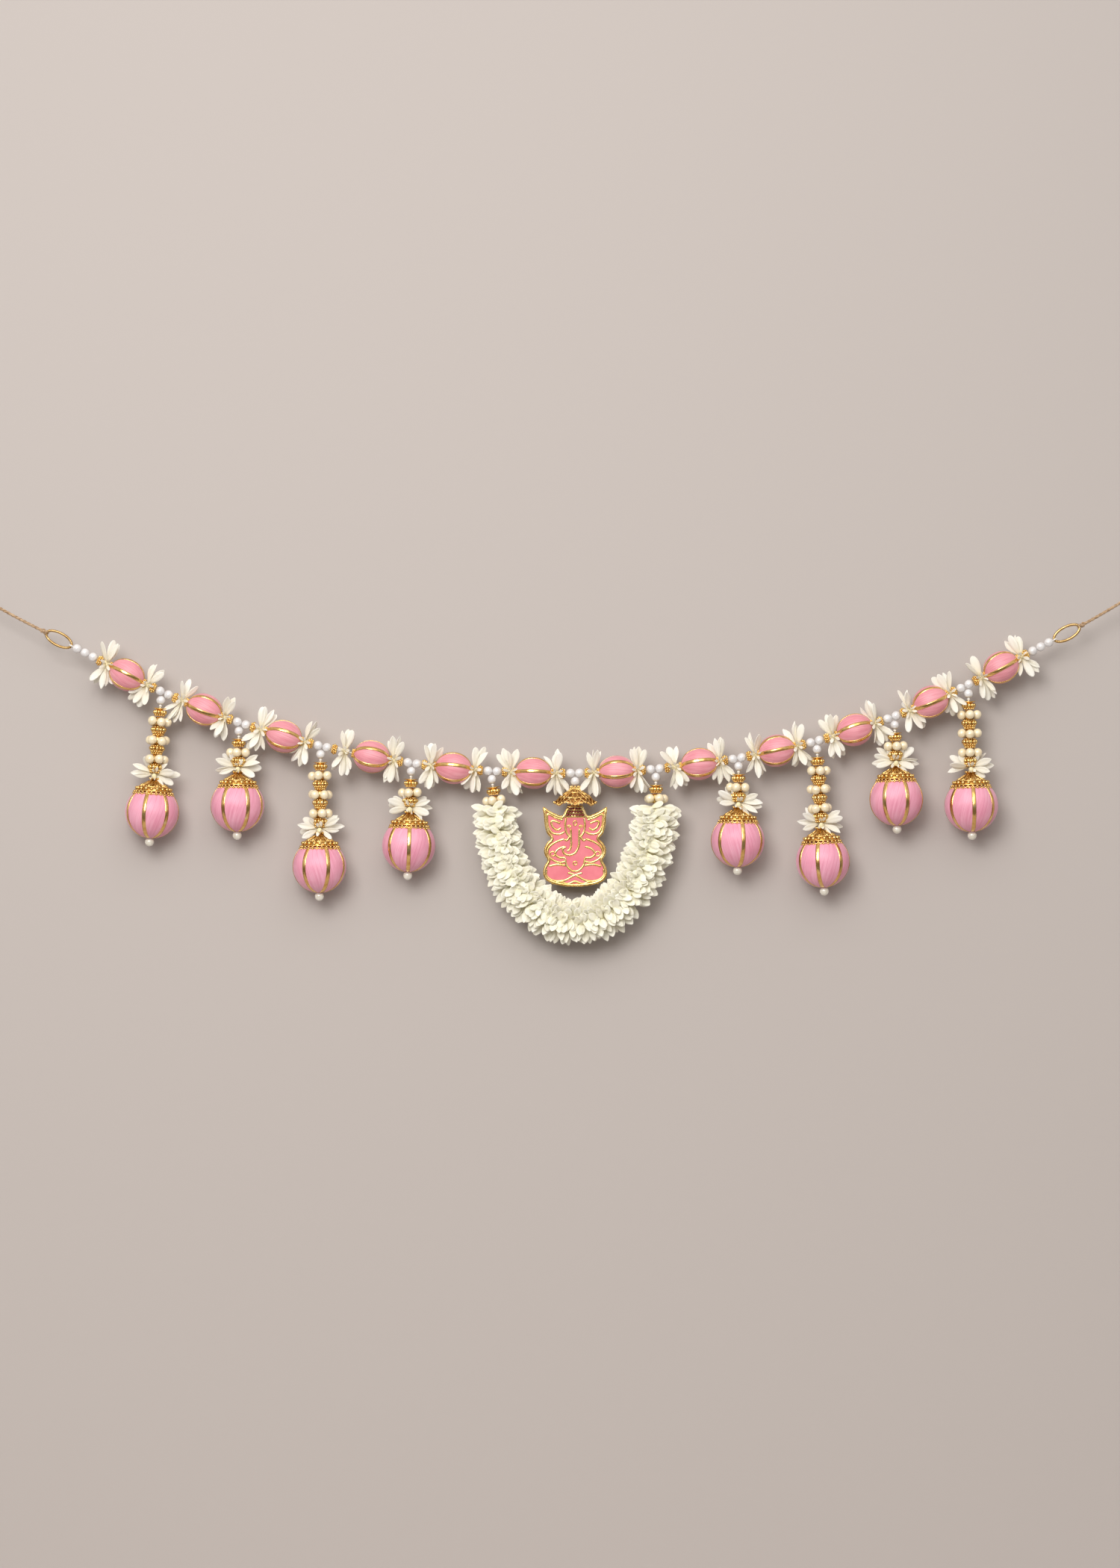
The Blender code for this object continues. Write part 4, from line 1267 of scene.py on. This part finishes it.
plate_mesh = slab(plate_outline, 0.0, -PLATE_THICK)
add_piece("plate_gold", plate_mesh, gold, ["pendant_plate"])
plate_mesh.set_sharp_from_angle(angle=radians(40))
enamel, enamel_tree, enamel_shader = new_finish("pink_enamel", (0.80, 0.21, 0.28), 0.18)
enamel_shades = [(0.3, (0.78, 0.19, 0.235)), (0.7, (0.86, 0.25, 0.29))]
enamel_body = ramp(enamel_tree, noise(enamel_tree, 90, 2), enamel_shades)
feed(enamel_shader, {"Base Color": enamel_body, "Coat Weight": 0.7})
bump(enamel_shader, noise(enamel_tree, 160, 2), 0.15, 0.0004)
enamel_mesh = slab(drawn_in(plate_outline, PLATE_RIM * 0.6), 0.00015, -0.0002)
add_piece("plate_enamel", enamel_mesh, enamel)
enamel_mesh.set_sharp_from_angle(angle=radians(30))

# Strokes of the drawing, in millimetres across and below the plate's top; paired ones are mirrored
PAIRED = (
    ((8.4, 12.0), (9.2, 18.0), (8.0, 25.5), (4.4, 30.0)),
    ((11.6, 13.6), (18.6, 11.4), (25.4, 8.2), (26.0, 14.0), (25.0, 20.4), (21.4, 25.8), (15.0, 27.0),
     (10.0, 25.0)),
    ((14.0, 16.8), (19.2, 14.8), (22.4, 15.4), (20.8, 20.4), (16.4, 23.0), (13.2, 21.0)),
    ((4.6, 28.6), (7.4, 32.6), (9.8, 32.2)),
    ((10.0, 31.4), (18.0, 34.4), (24.4, 39.4), (25.6, 45.6), (21.8, 50.6), (14.6, 53.6), (9.0, 52.4)),
    ((9.4, 38.6), (15.4, 40.8), (18.6, 45.4), (14.8, 48.8), (9.2, 49.0)),
    ((26.8, 59.8), (26.6, 66.0), (20.4, 70.4), (10.2, 70.4), (1.4, 66.0), (-6.6, 63.2)),
    ((8.8, 56.4), (17.0, 55.4), (24.4, 57.2)),
)
SINGLE = (
    ((4.0, 22.0), (3.8, 31.0), (3.4, 38.0), (0.2, 44.4), (-5.6, 46.6), (-10.6, 44.6), (-11.2, 40.6),
     (-8.4, 39.2)),
    ((-4.0, 22.0), (-3.8, 31.0), (-3.6, 37.0), (-5.0, 41.4), (-7.6, 42.6)),
    ((-9.2, 49.6), (-8.0, 56.0), (-4.0, 60.6), (0.0, 61.8), (4.0, 60.6), (8.0, 56.0), (9.2, 49.6)),
    ((-22.0, 73.0), (-14.0, 71.4), (-7.0, 73.6), (0.0, 71.2), (7.0, 73.6), (14.0, 71.4), (22.0, 73.0)),
)
# Bands of the headdress, and the round cells between them
BANDS = (((-5.0, 1.6), (5.0, 1.6)), ((-6.6, 4.4), (6.6, 4.4)), ((-8.4, 7.2), (8.4, 7.2)),
         ((-10.4, 10.2), (10.4, 10.2)))
RINGS = ((0.0, 16.6, 1.5, 2.3), (5.4, 19.6, 1.5, 0.9), (-5.4, 19.6, 1.5, 0.9), (0.0, 54.2, 1.7, 1.7),
         (21.0, 45.4, 2.2, 2.2), (-21.0, 45.4, 2.2, 2.2))
CELL_ROWS = ((3.0, 4, 2.9), (6.0, 5, 2.9), (9.0, 6, 2.9))


def stroke_rows(points, wide, lift):
    """Rows of a low rounded line of gold on the plate's face."""
    section = ((-1, LINE_SUNK), (-0.8, lift * 0.7), (0, lift), (0.8, lift * 0.7), (1, LINE_SUNK))
    rows = []
    for i, (side, below) in enumerate(points):
        here, there = points[max(i - 1, 0)], points[min(i + 1, len(points) - 1)]
        direction = Vector((there[0] - here[0], there[1] - here[1])).normalized()
        across = Vector((-direction.y, direction.x))
        row = []
        for offset, height in section:
            aside = across * offset * wide * 1000
            row.append(on_plate((side + aside.x) / 1000, (below + aside.y) / 1000, height))
        rows.append(row)
    return rows


strokes = [*SINGLE, *PAIRED] + [[(-side, below) for side, below in line] for line in PAIRED]
rim_line = [(side * 1000, below * 1000) for side, below in drawn_in(plate_outline, PLATE_RIM / 2)]
plate_lines = [stroke_rows(rim_line + rim_line[:1], PLATE_RIM / 2, RIM_HIGH)]
plate_lines += [stroke_rows(smooth_line(line, 7), LINE_WIDE, LINE_HIGH) for line in strokes]
for side, below, wide, high in RINGS:
    ring = [(side + wide * cos(t), below + high * sin(t)) for t in angles(20) + [2 * pi]]
    plate_lines.append(stroke_rows(ring, LINE_WIDE * 0.6, LINE_HIGH))
plate_lines += [stroke_rows(line, BAND_WIDE, LINE_HIGH) for line in BANDS]
add_piece("plate_lines", rows_mesh(plate_lines), gold)
garnet, garnet_tree, garnet_shader = new_finish("garnet_enamel", (0.22, 0.02, 0.02), 0.2)
bump(garnet_shader, noise(garnet_tree, 900), 0.1, 0.0002)
cell = round_ball(0.0012)
cells = []
for below, count, apart in CELL_ROWS:
    for k in range(count):
        centre = on_plate((k - (count - 1) / 2) * apart / 1000, below / 1000, 0.0007)
        cells.append((cell, Matrix.Translation(centre) @ Matrix.Diagonal((1, 0.35, 1, 1))))
add_piece("headdress_cells", cells, garnet)
